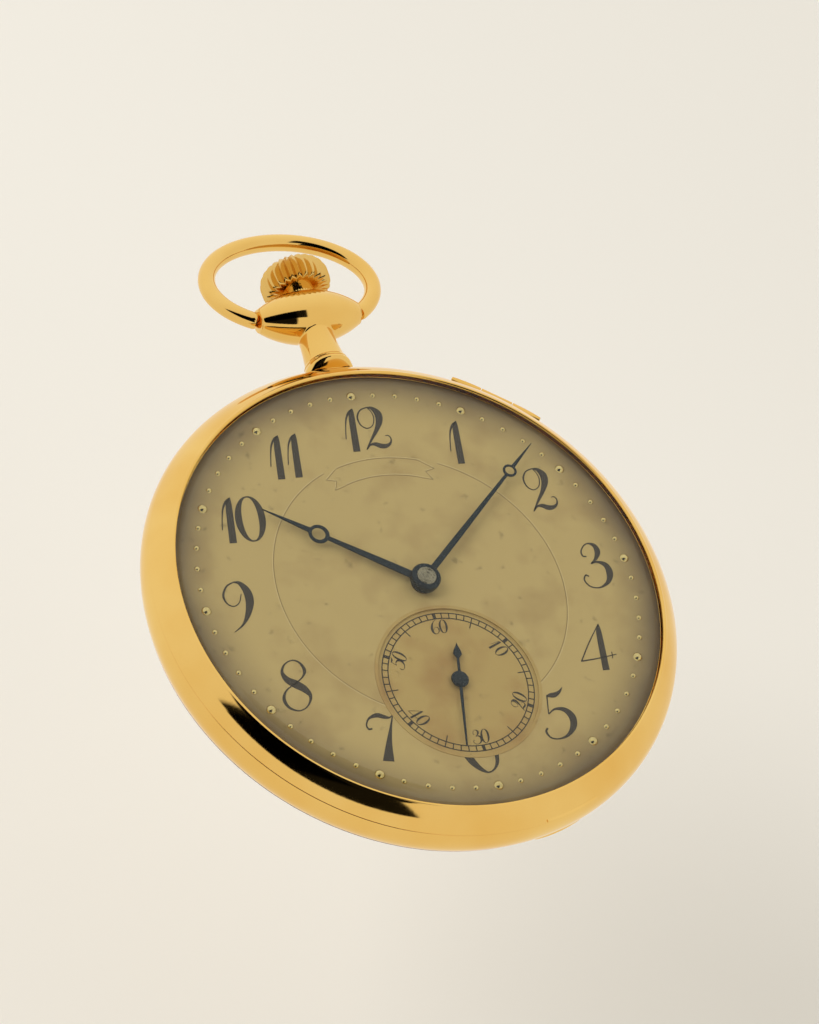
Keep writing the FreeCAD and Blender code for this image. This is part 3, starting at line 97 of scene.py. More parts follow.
def add_node(tree, kind, settings=None, links=None):
    """Adds a node. Settings are attributes or input values by name; links are input name to output."""
    node = tree.nodes.new(kind)
    for name, value in (settings or {}).items():
        if hasattr(node, name):
            setattr(node, name, value)
        else:
            node.inputs[name].default_value = value
    for name, output in (links or {}).items():
        tree.links.new(output, node.inputs[name])
    return node


def new_material(name, settings):
    """A Principled material with its constants on the shader's own sockets."""
    material = bpy.data.materials.new(name)
    material.use_nodes = True
    shader = material.node_tree.nodes["Principled BSDF"]
    for socket, value in settings.items():
        shader.inputs[socket].default_value = value
    return material, material.node_tree, shader


def ramp(tree, factor, stops):
    """A colour ramp from (position, colour) stops."""
    node = add_node(tree, "ShaderNodeValToRGB", links={"Fac": factor})
    elements = node.color_ramp.elements
    while len(elements) < len(stops):
        elements.new(0.5)
    for element, (position, colour) in zip(elements, stops):
        element.position = position
        element.color = colour
    return node.outputs["Color"]


def grey(value):
    return (value, value, value, 1.0)


def noise_at(tree, size_mm, detail=4.0, stretch=(1.0, 1.0, 1.0)):
    """Noise in the object's own metres, with features about size_mm across."""
    place = add_node(tree, "ShaderNodeTexCoord")
    scaled = add_node(tree, "ShaderNodeMapping", {"Scale": stretch}, {"Vector": place.outputs["Object"]})
    settings = {"Scale": 1000.0 / size_mm, "Detail": detail}
    return add_node(tree, "ShaderNodeTexNoise", settings, {"Vector": scaled.outputs["Vector"]})


def bump(tree, shader, height, distance_mm, strength=1.0, below=None):
    """Bump from a height output, with its depth in millimetres."""
    links = {"Height": height}
    if below is not None:
        links["Normal"] = below
    node = add_node(tree, "ShaderNodeBump", {"Strength": strength, "Distance": distance_mm * mm}, links)
    tree.links.new(node.outputs["Normal"], shader.inputs["Normal"])
    return node.outputs["Normal"]


print("gold looks like", [round(value, 3) for value in linear("E3B15C")[:3]])

# %% [markdown]
# ## Gold of the case
# The case is yellow gold of about 18 carat, turned on a lathe and buffed with rouge. Gold is a metal,
# so it is metallic 1 with the default IOR, and its colour is what it reflects. A century in a pocket
# leaves hairlines of a few hundredths of a millimetre. Real ones would vanish in the render, so they
# are drawn about 0.3 mm apart. They change the roughness a little, and the bump hardly at all.

# %% Yellow gold


def make_gold(name, code, worn, roughness, hairline_mm):
    material, tree, shader = new_material(name, {"Base Color": linear(code), "Metallic": 1.0,
                                                 "Roughness": roughness})
    wear = noise_at(tree, 9.0, 3.0)
    hairs = noise_at(tree, hairline_mm, 2.0, (0.06, 1.0, 1.0))
    crossed = noise_at(tree, hairline_mm, 2.0, (1.0, 0.07, 1.0))
    lines = add_node(tree, "ShaderNodeMath", {"operation": "MULTIPLY"})
    tree.links.new(hairs.outputs["Fac"], lines.inputs[0])
    tree.links.new(crossed.outputs["Fac"], lines.inputs[1])
    mixed = add_node(tree, "ShaderNodeMath", {"operation": "MULTIPLY"})
    tree.links.new(lines.outputs[0], mixed.inputs[0])
    tree.links.new(wear.outputs["Fac"], mixed.inputs[1])
    rough = add_node(tree, "ShaderNodeMapRange", {"To Min": roughness * 0.6, "To Max": roughness * 3.2},
                     {"Value": mixed.outputs[0]})
    tree.links.new(rough.outputs["Result"], shader.inputs["Roughness"])
    tone = ramp(tree, wear.outputs["Fac"], [(0.35, linear(code)), (0.75, linear(worn))])
    tree.links.new(tone, shader.inputs["Base Color"])
    bump(tree, shader, lines.outputs[0], 0.004, 0.35)
    return material


case_gold = make_gold("yellow_gold_polished", "E9BC66", "F0CB7C", 0.07, 0.3)
crown_gold = make_gold("yellow_gold_cut", "D9AE5C", "E6C37A", 0.14, 0.2)
print("made", case_gold.name, crown_gold.name)

# %% [markdown]
# ## Gilt dial
# The dial is a silvered or gilt brass disc with a matt, frosted face, made by brushing on fine powder.
# It has turned a warm tan with age, and damp has left brown clouds and small spots. The greyer, darker
# rim is partly damp crept in from the edge and partly painted shade, the shadow of the bezel and crystal.
# The face isn't mirror-like: a satin metal under old lacquer is closer to a rough dielectric, so
# metallic is low. Grain is about 0.05 mm and is drawn at 0.15 mm.

# %% Frosted gilt


def make_dial_gilt(name, face, cloud, rim, outer_mm, centre_mm):
    material, tree, shader = new_material(name, {"Metallic": 0.25, "Roughness": 0.55})
    broad = noise_at(tree, 11.0, 5.0)
    clouds = noise_at(tree, 4.0, 7.0)
    spots = noise_at(tree, 1.1, 3.0)
    grain = noise_at(tree, 0.15, 2.0)
    place = add_node(tree, "ShaderNodeTexCoord")
    shift = add_node(tree, "ShaderNodeVectorMath", {"operation": "SUBTRACT"},
                     {0: place.outputs["Object"]})
    shift.inputs[1].default_value = watch(centre_mm[0], centre_mm[1], 0.0)
    apart = add_node(tree, "ShaderNodeSeparateXYZ", links={"Vector": shift.outputs["Vector"]})
    flat = add_node(tree, "ShaderNodeCombineXYZ", links={"X": apart.outputs["X"],
                                                         "Y": apart.outputs["Y"]})
    reach = add_node(tree, "ShaderNodeVectorMath", {"operation": "LENGTH"}, {0: flat.outputs["Vector"]})
    # The rim mix darkens the dial towards its edge: partly painted shade under the bezel and crystal,
    # partly damp from the edge.
    edge = add_node(tree, "ShaderNodeMapRange", {"From Min": outer_mm * 0.76 * mm,
                                                 "From Max": outer_mm * mm},
                    {"Value": reach.outputs["Value"]})
    uneven = add_node(tree, "ShaderNodeMath", {"operation": "MULTIPLY_ADD"}, {0: broad.outputs["Fac"]})
    uneven.inputs[1].default_value = 1.1
    uneven.inputs[2].default_value = -0.52
    rim_shade_and_damp = add_node(tree, "ShaderNodeMath", {"operation": "ADD", "use_clamp": True},
                    {0: edge.outputs["Result"], 1: uneven.outputs[0]})
    rim_shade_and_damp_mask = add_node(tree, "ShaderNodeMath", {"operation": "MULTIPLY"},
                         {0: rim_shade_and_damp.outputs[0], 1: edge.outputs["Result"]})
    base = ramp(tree, clouds.outputs["Fac"], [(0.30, linear(cloud)), (0.52, linear(face)),
                                              (0.8, linear(face))])
    rimmed = add_node(tree, "ShaderNodeMix", {"data_type": "RGBA"}, {"Factor": rim_shade_and_damp_mask.outputs[0]})
    tree.links.new(base, rimmed.inputs["A"])
    rimmed.inputs["B"].default_value = linear(rim)
    dark = ramp(tree, spots.outputs["Fac"], [(0.24, grey(0.45)), (0.36, grey(1.0)), (1.0, grey(1.0))])
    spotted = add_node(tree, "ShaderNodeMix", {"data_type": "RGBA", "blend_type": "MULTIPLY"})
    spotted.inputs["Factor"].default_value = 0.55
    tree.links.new(rimmed.outputs["Result"], spotted.inputs["A"])
    tree.links.new(dark, spotted.inputs["B"])
    tree.links.new(spotted.outputs["Result"], shader.inputs["Base Color"])
    rough = add_node(tree, "ShaderNodeMapRange", {"To Min": 0.45, "To Max": 0.7},
                     {"Value": clouds.outputs["Fac"]})
    tree.links.new(rough.outputs["Result"], shader.inputs["Roughness"])
    bump(tree, shader, grain.outputs["Fac"], 0.012, 0.5)
    return material


# The main dial's darker rim colour is partly painted shade cast by the bezel and crystal, partly damp.
dial_gilt = make_dial_gilt("frosted_gilt_brass", "B9A470", "AA9362", "5F5040", 22.2, (0.0, 0.0))
seconds_gilt = make_dial_gilt("frosted_gilt_brass_seconds", "B29A62", "A2834F", "A88E5A", 9.0,
                              (0.0, seconds_y))
print("made", dial_gilt.name, seconds_gilt.name)

# %% [markdown]
# ## Small finishes
# The numerals are fired or printed black paint, a hard gloss. The hands are steel heated until the
# surface turns blue-black, so they are metal with a dark blue reflection. The pearls are drops of
# polished pale gilt. The steel of the works is grey and polished, the plates are gilt brass, and the
# bearings are ruby. All start from the usual values for the material.

# %% Paint, steel, brass, ruby, glass


def make_plain(name, code, metallic, roughness, grain_mm, **more):
    """A finish whose roughness and tone vary with one grain."""
    settings = {"Base Color": linear(code), "Metallic": metallic, "Roughness": roughness, **more}
    material, tree, shader = new_material(name, settings)
    grain = noise_at(tree, grain_mm)
    rough = add_node(tree, "ShaderNodeMapRange",
                     {"To Min": roughness * 0.5, "To Max": roughness * 1.5},
                     {"Value": grain.outputs["Fac"]})
    tree.links.new(rough.outputs["Result"], shader.inputs["Roughness"])
    colour = linear(code)
    darker = tuple(value * 0.8 for value in colour[:3]) + (1.0,)
    tone = ramp(tree, grain.outputs["Fac"], [(0.3, darker), (0.65, colour)])
    tree.links.new(tone, shader.inputs["Base Color"])
    bump(tree, shader, grain.outputs["Fac"], 0.002, 0.5)
    return material


black_paint = make_plain("black_dial_paint", "241C14", 0.0, 0.38, 0.25, IOR=1.5)
# The scribed line's two edges: a painted highlight and painted shade.
engraved_line_highlight = make_plain("engraved_line_highlight", "CDB98A", 0.4, 0.4, 0.2)
shaded_line = make_plain("engraved_line_shade", "8F7A50", 0.2, 0.6, 0.2)
blued_steel = make_plain("heat_blued_steel", "27323C", 1.0, 0.24, 0.5)
bare_steel = make_plain("polished_steel", "8F8B7E", 1.0, 0.3, 0.3)
works_steel = make_plain("polished_steel_works", "A9ABAD", 1.0, 0.18, 0.4)
pale_gilt = make_plain("pale_gilt_pearl", "D8C892", 1.0, 0.16, 0.3)
wheel_brass = make_plain("gilt_brass_wheel", "D6AE5E", 1.0, 0.25, 0.3)
ruby = make_plain("ruby_jewel", "A3123A", 0.0, 0.06, 0.4, IOR=1.77)
print("made the small finishes")

# %% [markdown]
# The plates and bridges of a good old movement are frosted gilt: matt from acid or powder, then fire
# gilded. The stripes on them are ground in by a turning wheel, about 2 mm wide.

# %% Frosted plates


def make_plate_gilt(name):
    material, tree, shader = new_material(name, {"Base Color": linear("D8B26A"), "Metallic": 1.0,
                                                 "Roughness": 0.34})
    grain = noise_at(tree, 0.2, 3.0)
    place = add_node(tree, "ShaderNodeTexCoord")
    turned = add_node(tree, "ShaderNodeMapping", {"Rotation": (0.0, 0.0, 0.6)},
                      {"Vector": place.outputs["Object"]})
    stripe_width_mm = 2.0
    stripes = add_node(tree, "ShaderNodeTexWave", {"wave_profile": "SIN",
                                                   "Scale": 1000.0 / stripe_width_mm / 6.4},
                       {"Vector": turned.outputs["Vector"]})
    rough = add_node(tree, "ShaderNodeMapRange", {"To Min": 0.22, "To Max": 0.42},
                     {"Value": stripes.outputs["Fac"]})
    tree.links.new(rough.outputs["Result"], shader.inputs["Roughness"])
    first = bump(tree, shader, stripes.outputs["Fac"], 0.02, 0.4)
    bump(tree, shader, grain.outputs["Fac"], 0.006, 0.6, first)
    return material


plate_gilt = make_plate_gilt("frosted_gilt_plate")
print("made", plate_gilt.name)

# %% [markdown]
# ## Crystal glass
# The crystal is mineral glass, ground and polished, with an IOR of about 1.5, which gives back about
# four hundredths of the light at each face. It is thin and clear, so it bends nothing that shows, and a
# see-through surface mixed with a mirror is enough. It casts no shadow, as a real one barely does.

# %% Glass
glass = bpy.data.materials.new("mineral_glass")
glass.use_nodes = True
glass_tree = glass.node_tree
glass_tree.nodes.remove(glass_tree.nodes["Principled BSDF"])
both_faces = 0.018
smears = noise_at(glass_tree, 6.0, 5.0)
smear_rough = add_node(glass_tree, "ShaderNodeMapRange",
                       {"From Min": 0.4, "To Min": 0.01, "To Max": 0.07},
                       {"Value": smears.outputs["Fac"]})
clear = add_node(glass_tree, "ShaderNodeBsdfTransparent", {"Color": linear("FBFBF7")})
mirror = add_node(glass_tree, "ShaderNodeBsdfGlossy", {"Color": linear("FFFFFF")},
                  {"Roughness": smear_rough.outputs["Result"]})
pane = add_node(glass_tree, "ShaderNodeMixShader", {"Fac": both_faces})
glass_tree.links.new(clear.outputs[0], pane.inputs[1])
glass_tree.links.new(mirror.outputs[0], pane.inputs[2])
glass_tree.links.new(pane.outputs[0], glass_tree.nodes["Material Output"].inputs["Surface"])
print("made", glass.name)

# %% [markdown]
# ## Building helpers
# Almost everything on a watch is turned, so most pieces are lathe profiles: a list of radius and
# height points spun about an axis. A profile may hold arcs, given by their middle point, and its hard
# corners are eased a few hundredths of a millimetre, because no real edge is perfectly sharp and the
# thin highlight along it is what makes it look like metal.

# %% Lathe helper
arc_steps = 14
sharp_degrees = 32.0


def arc_between(start, middle, end):
    """Points after start along the circle through three points."""
    (ax, ay), (bx, by), (cx, cy) = start, middle, end
    doubled = 2 * (ax * (by - cy) + bx * (cy - ay) + cx * (ay - by))
    a2, b2, c2 = ax * ax + ay * ay, bx * bx + by * by, cx * cx + cy * cy
    ox = (a2 * (by - cy) + b2 * (cy - ay) + c2 * (ay - by)) / doubled
    oy = (a2 * (cx - bx) + b2 * (ax - cx) + c2 * (bx - ax)) / doubled
    radius = math.hypot(ax - ox, ay - oy)
    first = math.atan2(ay - oy, ax - ox)
    last = math.atan2(cy - oy, cx - ox)
    passing = math.atan2(by - oy, bx - ox)
    span = (last - first) % (2 * math.pi)
    if (passing - first) % (2 * math.pi) > span:
        span -= 2 * math.pi
    points = []
    for step in range(1, arc_steps + 1):
        turn = first + span * step / arc_steps
        points.append((ox + radius * math.cos(turn), oy + radius * math.sin(turn)))
    return points


def smooth_through(points, steps=10):
    """A smooth line through points of any number of values."""
    values = [Vector(point) for point in points]
    line = []
    for index in range(len(values) - 1):
        p1, p2 = values[index], values[index + 1]
        p0 = values[index - 1] if index else p1 * 2 - p2
        p3 = values[index + 2] if index + 2 < len(values) else p2 * 2 - p1
        for step in range(steps):
            t = step / steps
            line.append(0.5 * ((2 * p1) + (p2 - p0) * t + (2 * p0 - 5 * p1 + 4 * p2 - p3) * t * t
                               + (3 * p1 - p0 - 3 * p2 + p3) * t ** 3))
    line.append(values[-1])
    return [tuple(value) for value in line]


def ease_corners(points, radius, closed):
    """Replaces each hard corner with a small round."""
    eased = []
    count = len(points)
    for index, point in enumerate(points):
        here = Vector(point)
        if not closed and index in (0, count - 1):
            eased.append(point)
            continue
        before = Vector(points[index - 1])
        after = Vector(points[(index + 1) % count])
        back, ahead = before - here, after - here
        doubled = back.length < 1e-6 or ahead.length < 1e-6
        on_axis = here.x < 1e-6
        if doubled or on_axis or back.angle(ahead) > math.radians(155):
            eased.append(point)
            continue
        size = min(radius, back.length * 0.4, ahead.length * 0.4)
        start, end = here + back.normalized() * size, here + ahead.normalized() * size
        for step in range(5):
            t = step / 4
            eased.append(tuple(start * (1 - t) ** 2 + here * 2 * t * (1 - t) + end * t * t))
    return eased


def profile_line(items, radius=0.05, closed=True):
    """Turns corners and ("arc", r, h) middles into a plain list of points."""
    points = []
    total = list(items) + ([items[0]] if closed else [])
    middle = None
    for item in total:
        if item[0] == "arc":
            middle = (item[1], item[2])
            continue
        if middle is None:
            points.append(item)
        else:
            points.extend(arc_between(points[-1], middle, item))
        middle = None
    if closed:
        points.pop()
    return ease_corners(points, radius, closed)


def about_hands(radius, turn, height):
    return watch(radius * math.cos(turn), radius * math.sin(turn), height)


def about_stem(radius, turn, height):
    return watch(radius * math.cos(turn), height, rim_z + radius * math.sin(turn))


def about_bow(radius, turn, height):
    return watch(height, pendant_y + radius * math.cos(turn), rim_z + radius * math.sin(turn))


def skin(bm, rows, around=True):
    """Joins neighbouring rows of points with faces. Each row is a loop, or open if not around."""
    for first, second in zip(rows[:-1], rows[1:]):
        count = len(first)
        for index in range(count if around else count - 1):
            other = (index + 1) % count
            bm.faces.new([first[index], first[other], second[other], second[index]])


def finish_mesh(bm, name, material, smooth_angle=sharp_degrees):
    """Makes an object from a bmesh, with smooth shading and sharp creases."""
    bmesh.ops.remove_doubles(bm, verts=bm.verts, dist=1e-7)
    bmesh.ops.recalc_face_normals(bm, faces=bm.faces)
    mesh = bpy.data.meshes.new(name)
    bm.to_mesh(mesh)
    bm.free()
    mesh.polygons.foreach_set("use_smooth", [True] * len(mesh.polygons))
    mesh.set_sharp_from_angle(angle=math.radians(smooth_angle))
    obj = bpy.data.objects.new(name, mesh)
    bpy.context.scene.collection.objects.link(obj)
    obj.data.materials.append(material)
    return obj


def lathe(name, points, material, place=about_hands, segments=288, closed=True):
    """Spins a profile of (radius, height) points about an axis."""
    bm = bmesh.new()
    rings = []
    for segment in range(segments):
        turn = 2 * math.pi * segment / segments
        rings.append([bm.verts.new(place(radius, turn, height)) for radius, height in points])
    count = len(points)
    for segment in range(segments):
        here, after = rings[segment], rings[(segment + 1) % segments]
        for index in range(count if closed else count - 1):
            other = (index + 1) % count
            if points[index][0] < 1e-7 and points[other][0] < 1e-7:
                continue
            bm.faces.new([here[index], here[other], after[other], after[index]])
    return finish_mesh(bm, name, material)


def apply_modifiers(obj):
    """Keeps the shape that the modifiers give and drops the modifiers."""
    graph = bpy.context.evaluated_depsgraph_get()
    shaped = bpy.data.meshes.new_from_object(obj.evaluated_get(graph))
    obj.modifiers.clear()
    obj.data = shaped
    return obj


def add_boolean(obj, operation, tool):
    step = obj.modifiers.new("cut", "BOOLEAN")
    step.operation = operation
    step.solver = "EXACT"
    step.object = tool


def carve(obj, cutters):
    """Cuts other shapes out of a piece."""
    for cutter in cutters:
        add_boolean(obj, "DIFFERENCE", cutter)
    apply_modifiers(obj)
    for cutter in cutters:
        bpy.data.objects.remove(cutter)
    obj.data.set_sharp_from_angle(angle=math.radians(sharp_degrees))
    return obj


def join(name, parts):
    """One object from several, in the frame's place."""
    bm = bmesh.new()
    material = parts[0].data.materials[0]
    for part in parts:
        bm.from_mesh(part.data)
        bpy.data.objects.remove(part)
    return finish_mesh(bm, name, material)


def ride(obj, body, *nodes, slot=None):
    """The piece moves with a CAD body, and stands for those of its nodes that it is the look of."""
    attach(obj, body)
    if nodes:
        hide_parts(*nodes)
    return obj


root = "case_and_movement"
print("helpers ready")

# %% [markdown]
# ## Hinges
# The bezel and the back each swing on a five-part hinge set into the rim near 1 o'clock. The barrels
# are short tubes. Each cover and the band need a slot that the other parts' barrels turn in, and that
# slot is cut with a block. The hinge lies along the rim's tangent, so its parts are drawn with x
# outwards and y along the pin, and then turned into place.

# %% Hinge pieces
hinge_clock = 37.5
hinge_radius = 23.75
hinge_half = 4.5
knuckle_radius = 0.6
groove_radius = 0.68
pin_bore = 0.27
filed_radius = 24.18
front_seam = -1.05
back_seam = -3.75
lip_start, lip_span, lip_out = 158.5, 13.0, 0.13


def hinge_point(outward, along, z):
    turn = math.radians(90 - hinge_clock)
    x = outward * math.cos(turn) - along * math.sin(turn)
    y = outward * math.sin(turn) + along * math.cos(turn)
    return watch(x, y, z)


def about_pin(z):
    """Places lathe points about the hinge pin at one of the two seams."""
    def place(radius, turn, along):
        return hinge_point(hinge_radius + radius * math.cos(turn), along, z + radius * math.sin(turn))
    return place


def hinge_barrel(name, low, high, z):
    """A short tube round the hinge pin, with eased ends."""
    outline = profile_line([(pin_bore, low), (knuckle_radius, low), (knuckle_radius, high),
                            (pin_bore, high)], 0.08)
    return lathe(name, outline, case_gold, about_pin(z), 40)


def hinge_block(out_low, out_high, low, high, z_low, z_high):
    """A cutting block in the hinge's place."""
    bm = bmesh.new()
    corners = {}
    for i, outward in enumerate((out_low, out_high)):
        for j, along in enumerate((low, high)):
            for k, z in enumerate((z_low, z_high)):
                corners[i, j, k] = bm.verts.new(hinge_point(outward, along, z))
    sides = [[(0, 0, 0), (0, 0, 1), (0, 1, 1), (0, 1, 0)], [(1, 0, 0), (1, 1, 0), (1, 1, 1), (1, 0, 1)],
             [(0, 0, 0), (1, 0, 0), (1, 0, 1), (0, 0, 1)], [(0, 1, 0), (0, 1, 1), (1, 1, 1), (1, 1, 0)],
             [(0, 0, 0), (0, 1, 0), (1, 1, 0), (1, 0, 0)], [(0, 0, 1), (1, 0, 1), (1, 1, 1), (0, 1, 1)]]
    for side in sides:
        bm.faces.new([corners[key] for key in side])
    return finish_mesh(bm, "cutter", case_gold)


def hinge_groove(z):
    """The round groove that the barrels lie in, as a cutter."""
    outline = [(0.0, -hinge_half), (groove_radius, -hinge_half), (groove_radius, hinge_half),
               (0.0, hinge_half)]
    return lathe("cutter", outline, case_gold, about_pin(z), 48)


def thumb_lip(low, height=0.28):
    """A crescent on a cover's edge for the thumb nail, fading out at both ends."""
    bm = bmesh.new()
    rows = []
    for step in range(25):
        share = step / 24
        degrees = lip_start + lip_span * share
        out = lip_out * math.sin(math.pi * share) ** 0.6
        row = []
        for radius, z in ((23.7, low), (24.12 + out, low + 0.02), (24.16 + out, low + height * 0.5),
                          (24.10 + out * 0.8, low + height), (23.7, low + height)):
            row.append(bm.verts.new(watch(*clock(radius, degrees, z))))
        rows.append(row)
    skin(bm, rows)
    bm.faces.new(rows[0][::-1])
    bm.faces.new(rows[-1])
    return finish_mesh(bm, "lip", case_gold)


def filed_flush(parts):
    """Files hinge parts down to the round of the case."""
    below, above = -6.0, 0.6
    round_line = [(0.0, below), (filed_radius, below), (filed_radius, above), (0.0, above)]
    for part in parts:
        round_case = lathe("case_round", round_line, case_gold, segments=192)
        add_boolean(part, "INTERSECT", round_case)
        apply_modifiers(part)
        bpy.data.objects.remove(round_case)
    return parts


print("hinge at", hinge_clock, "degrees past 12")

# %% [markdown]
# ## Case band
# The band is the middle ring. Its outside is a soft bulge between two seams, and inside it holds the
# movement. It could be a torus with edits, but a lathe profile gives exact seams.

# %% Band
band_line = profile_line([
    (24.15, -1.05), ("arc", 24.5, -2.4), (24.15, -3.75), (22.9, -3.75), (22.9, -4.3), (22.25, -4.3),
    (22.25, -2.8), (21.45, -2.8), (21.45, -1.1), (22.25, -1.1), (22.25, -0.25), (22.9, -0.25), (22.9,
        -1.05)], 0.06)
band = lathe("band", band_line, case_gold)
band = carve(band, [hinge_groove(front_seam), hinge_groove(back_seam)])
band_parts = []
for low, high, z in ((-hinge_half, -1.61, front_seam), (1.61, hinge_half, front_seam),
                     (-hinge_half, -2.76, back_seam), (2.76, hinge_half, back_seam)):
    band_parts.append(hinge_barrel("band_knuckle", low, high, z))
    inward = -1 if z == front_seam else 1
    low_z, high_z = sorted((z, z + inward * 0.8))
    band_parts.append(hinge_block(23.0, 24.0, low + 0.05, high - 0.05, low_z, high_z))
ride(join("case_band_gold", [band] + filed_flush(band_parts)), root, "case_band", slot="case_gold")
print("band", len(band_line), "profile points")

# %% [markdown]
# ## Bezel
# The bezel is the front ring that holds the crystal. Its slope falls from a thin lip at the glass to
# the seam. The slope carries the longest reflections of the whole watch, so it has many segments.

# %% Bezel
bezel_line = profile_line([
    (24.15, -1.01), ("arc", 23.38, -0.02), (22.5, 0.7), ("arc", 22.28, 0.77), (22.15, 0.62), (22.15,
        0.56),
    (22.47, 0.56), (22.47, 0.2), (22.1, 0.2), (22.1, 0.06), (22.3, 0.06), (22.3, -0.2), (22.94, -0.2),
    (22.94, -1.01)], 0.03)
bezel = lathe("bezel_ring", bezel_line, case_gold, segments=384)
bezel = carve(bezel, [hinge_block(23.03, 25.5, -4.55, 4.55, -2.05, -0.33)])
bezel_hinge = filed_flush([hinge_barrel("bezel_knuckle", -1.55, 1.55, front_seam),
                           hinge_block(23.02, 23.7, -1.5, 1.5, -0.9, -0.28)])
bezel_parts = [bezel, thumb_lip(-1.0)] + bezel_hinge
ride(join("bezel_gold", bezel_parts), "bezel", "bezel", slot="case_gold")
print("bezel", len(bezel_line), "profile points")

# %% [markdown]
# ## Back cover and dust cover
# Both are thin domes that snap over the band. They share one curve, set in by the wall and the gap, so
# one function draws either.

# %% Covers


def dome_line(inset, rim_point=None):
    """The dome's line from the rim to the axis, set in along its normals."""
    stations = [(22.8, -5.25, 43), (20.3, -7.0, 62), (16.6, -8.35, 72), (12.5, -9.2, 79), (6.0, -9.8, 90)]
    points = [(r - inset * math.cos(math.radians(lean)), z + inset * math.sin(math.radians(lean)))
              for r, z, lean in stations]
    if rim_point:
        points.insert(0, rim_point)
    return smooth_through(points, 12)


outer_line = dome_line(0.0, (24.15, -3.79))
inner_line = dome_line(0.45)
back_line = outer_line + [(0.0, -9.8), (0.0, -9.35)] + inner_line[::-1] + [(22.94, -4.35), (22.94, -3.79)]
back = lathe("back_dome", back_line, case_gold, segments=320)
back = carve(back, [hinge_block(22.97, 25.5, -4.55, 4.55, -4.55, -2.75),
                    hinge_block(22.35, 23.75, -2.75, 0.0, -4.6, -3.7)])
back_hinge = filed_flush([hinge_barrel("back_knuckle", 0.03, 2.7, back_seam),
                          hinge_block(22.97, 23.7, 0.08, 2.65, -4.9, -3.9)])
back_parts = [back, thumb_lip(-4.07)] + back_hinge
ride(join("back_cover_gold", back_parts), "back_cover", "back_cover", slot="case_gold")

dust_outer = dome_line(0.8)
dust_inner = dome_line(1.15)
dust_line = [(21.8, -4.32), (22.6, -4.32), (22.6, -4.52), (22.35, -4.52)] + dust_outer \
    + [(0.0, dust_outer[-1][1]), (0.0, dust_inner[-1][1])] + dust_inner[::-1]
dust = lathe("dust_dome", dust_line, case_gold, segments=240)
dust_parts = [dust] + filed_flush([hinge_barrel("dust_knuckle", -2.7, -0.03, back_seam),
                                   hinge_block(22.3, 23.7, -2.65, -0.08, -4.5, -4.33)])
ride(join("dust_cover_gold", dust_parts), "dust_cover", "dust_cover", slot="case_gold")
print("covers made")

# %% [markdown]
# ## Crystal
# A shallow dome of glass with a low shoulder that sits in the bezel's groove.

# %% Crystal


def cap_middle(edge_radius, edge_z, top_z):
    """The middle of a spherical cap's line."""
    rise = top_z - edge_z
    radius = (edge_radius ** 2 + rise ** 2) / (2 * rise)
    angle = math.asin(edge_radius / radius) / 2
    return ("arc", radius * math.sin(angle), top_z - radius * (1 - math.cos(angle)))


crystal_line = profile_line([
    (22.45, 0.2), (22.45, 0.55), (22.09, 0.55), ("arc", 21.75, 1.12), (20.9, 1.57), cap_middle(20.9,
        1.57, 2.6),
    (0.0, 2.6), (0.0, 2.0), cap_middle(20.7, 1.0, 2.0), (20.7, 1.0), ("arc", 21.45, 0.62), (21.95,
        0.2)], 0.04)
crystal = lathe("crystal_glass", crystal_line, glass)
crystal.visible_shadow = False
ride(crystal, "bezel", "crystal", slot="crystal_glass")
print("crystal", len(crystal_line), "profile points")

# %% [markdown]
# ## Pendant
# The pendant is one piece of gold: an olive-shaped bulb that the bow swings on, and a neck that spreads
# to the case. Two lathe shapes would meet in a hard line. The real one is filed to a soft hollow there,
# so the two are merged by a voxel remesh and then smoothed. The foot ring keeps its fine groove, so it
# is a lathe piece of its own.

# %% Bulb and neck
bulb_line = profile_line([
    (0.0, -5.0), (1.1, -5.0), ("arc", 2.17, -2.75), (2.6, 0.0), ("arc", 2.17, 2.75), (1.1, 5.0), (0.0,
        5.0)], 0.12, False)
neck_line = profile_line([
    (0.0, 25.3), (2.02, 25.3), ("arc", 1.76, 27.2), (1.66, 28.8), (1.66, 31.0), (0.0, 31.0)], 0.02, False)
pendant_body = join("pendant_gold", [lathe("bulb", bulb_line, case_gold, about_bow, 96, False),
                                     lathe("neck", neck_line, case_gold, about_stem, 96, False)])
merge = pendant_body.modifiers.new("merge", "REMESH")
merge.mode = "VOXEL"
merge.voxel_size = 0.075 * mm
relax = pendant_body.modifiers.new("relax", "SMOOTH")
relax.factor = 0.5
relax.iterations = 14
apply_modifiers(pendant_body)
pendant_body.data.polygons.foreach_set("use_smooth", [True] * len(pendant_body.data.polygons))
foot_line = profile_line([
    (0.9, 23.7), (2.72, 23.7), ("arc", 2.42, 24.6), (2.12, 25.28), (2.03, 25.36), (2.1, 25.44), (2.0,
        25.62),
    (0.9, 25.62)], 0.03)
pendant_foot = lathe("pendant_foot_gold", foot_line, case_gold, about_stem, 96)
stem_height = watch(0.0, 0.0, rim_z).z
for vert in pendant_foot.data.vertices:
    roundness = min(1.0, max(0.0, (vert.co.y / mm - 24.2) / 0.8))
    vert.co.z = stem_height + (vert.co.z - stem_height) * (0.49 + 0.51 * roundness)
for part in (pendant_body, pendant_foot):
    ride(part, root, slot="case_gold")
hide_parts("pendant")
for side in (-1, 1):
    collar = profile_line([(0.45, 4.9), (1.08, 4.9), (1.1, 5.02), (0.95, 5.06), (0.45, 5.06)], 0.03)
    ring = lathe("bulb_end_" + ("left" if side < 0 else "right"),
                 [(radius, side * height) for radius, height in collar], case_gold, about_bow, 64)
    ride(ring, root, slot="case_gold")
print("pendant faces", len(pendant_body.data.polygons))

# %% [markdown]
# ## Bow
# The bow is a ring of round wire, bent to an oval and sprung into the two ends of the bulb. It leans
# back a little at rest. A curve with a bevel would do, but drawing the tube ring by ring lets the wire
# swell slightly at the sides, as a drawn and bent wire is filed.

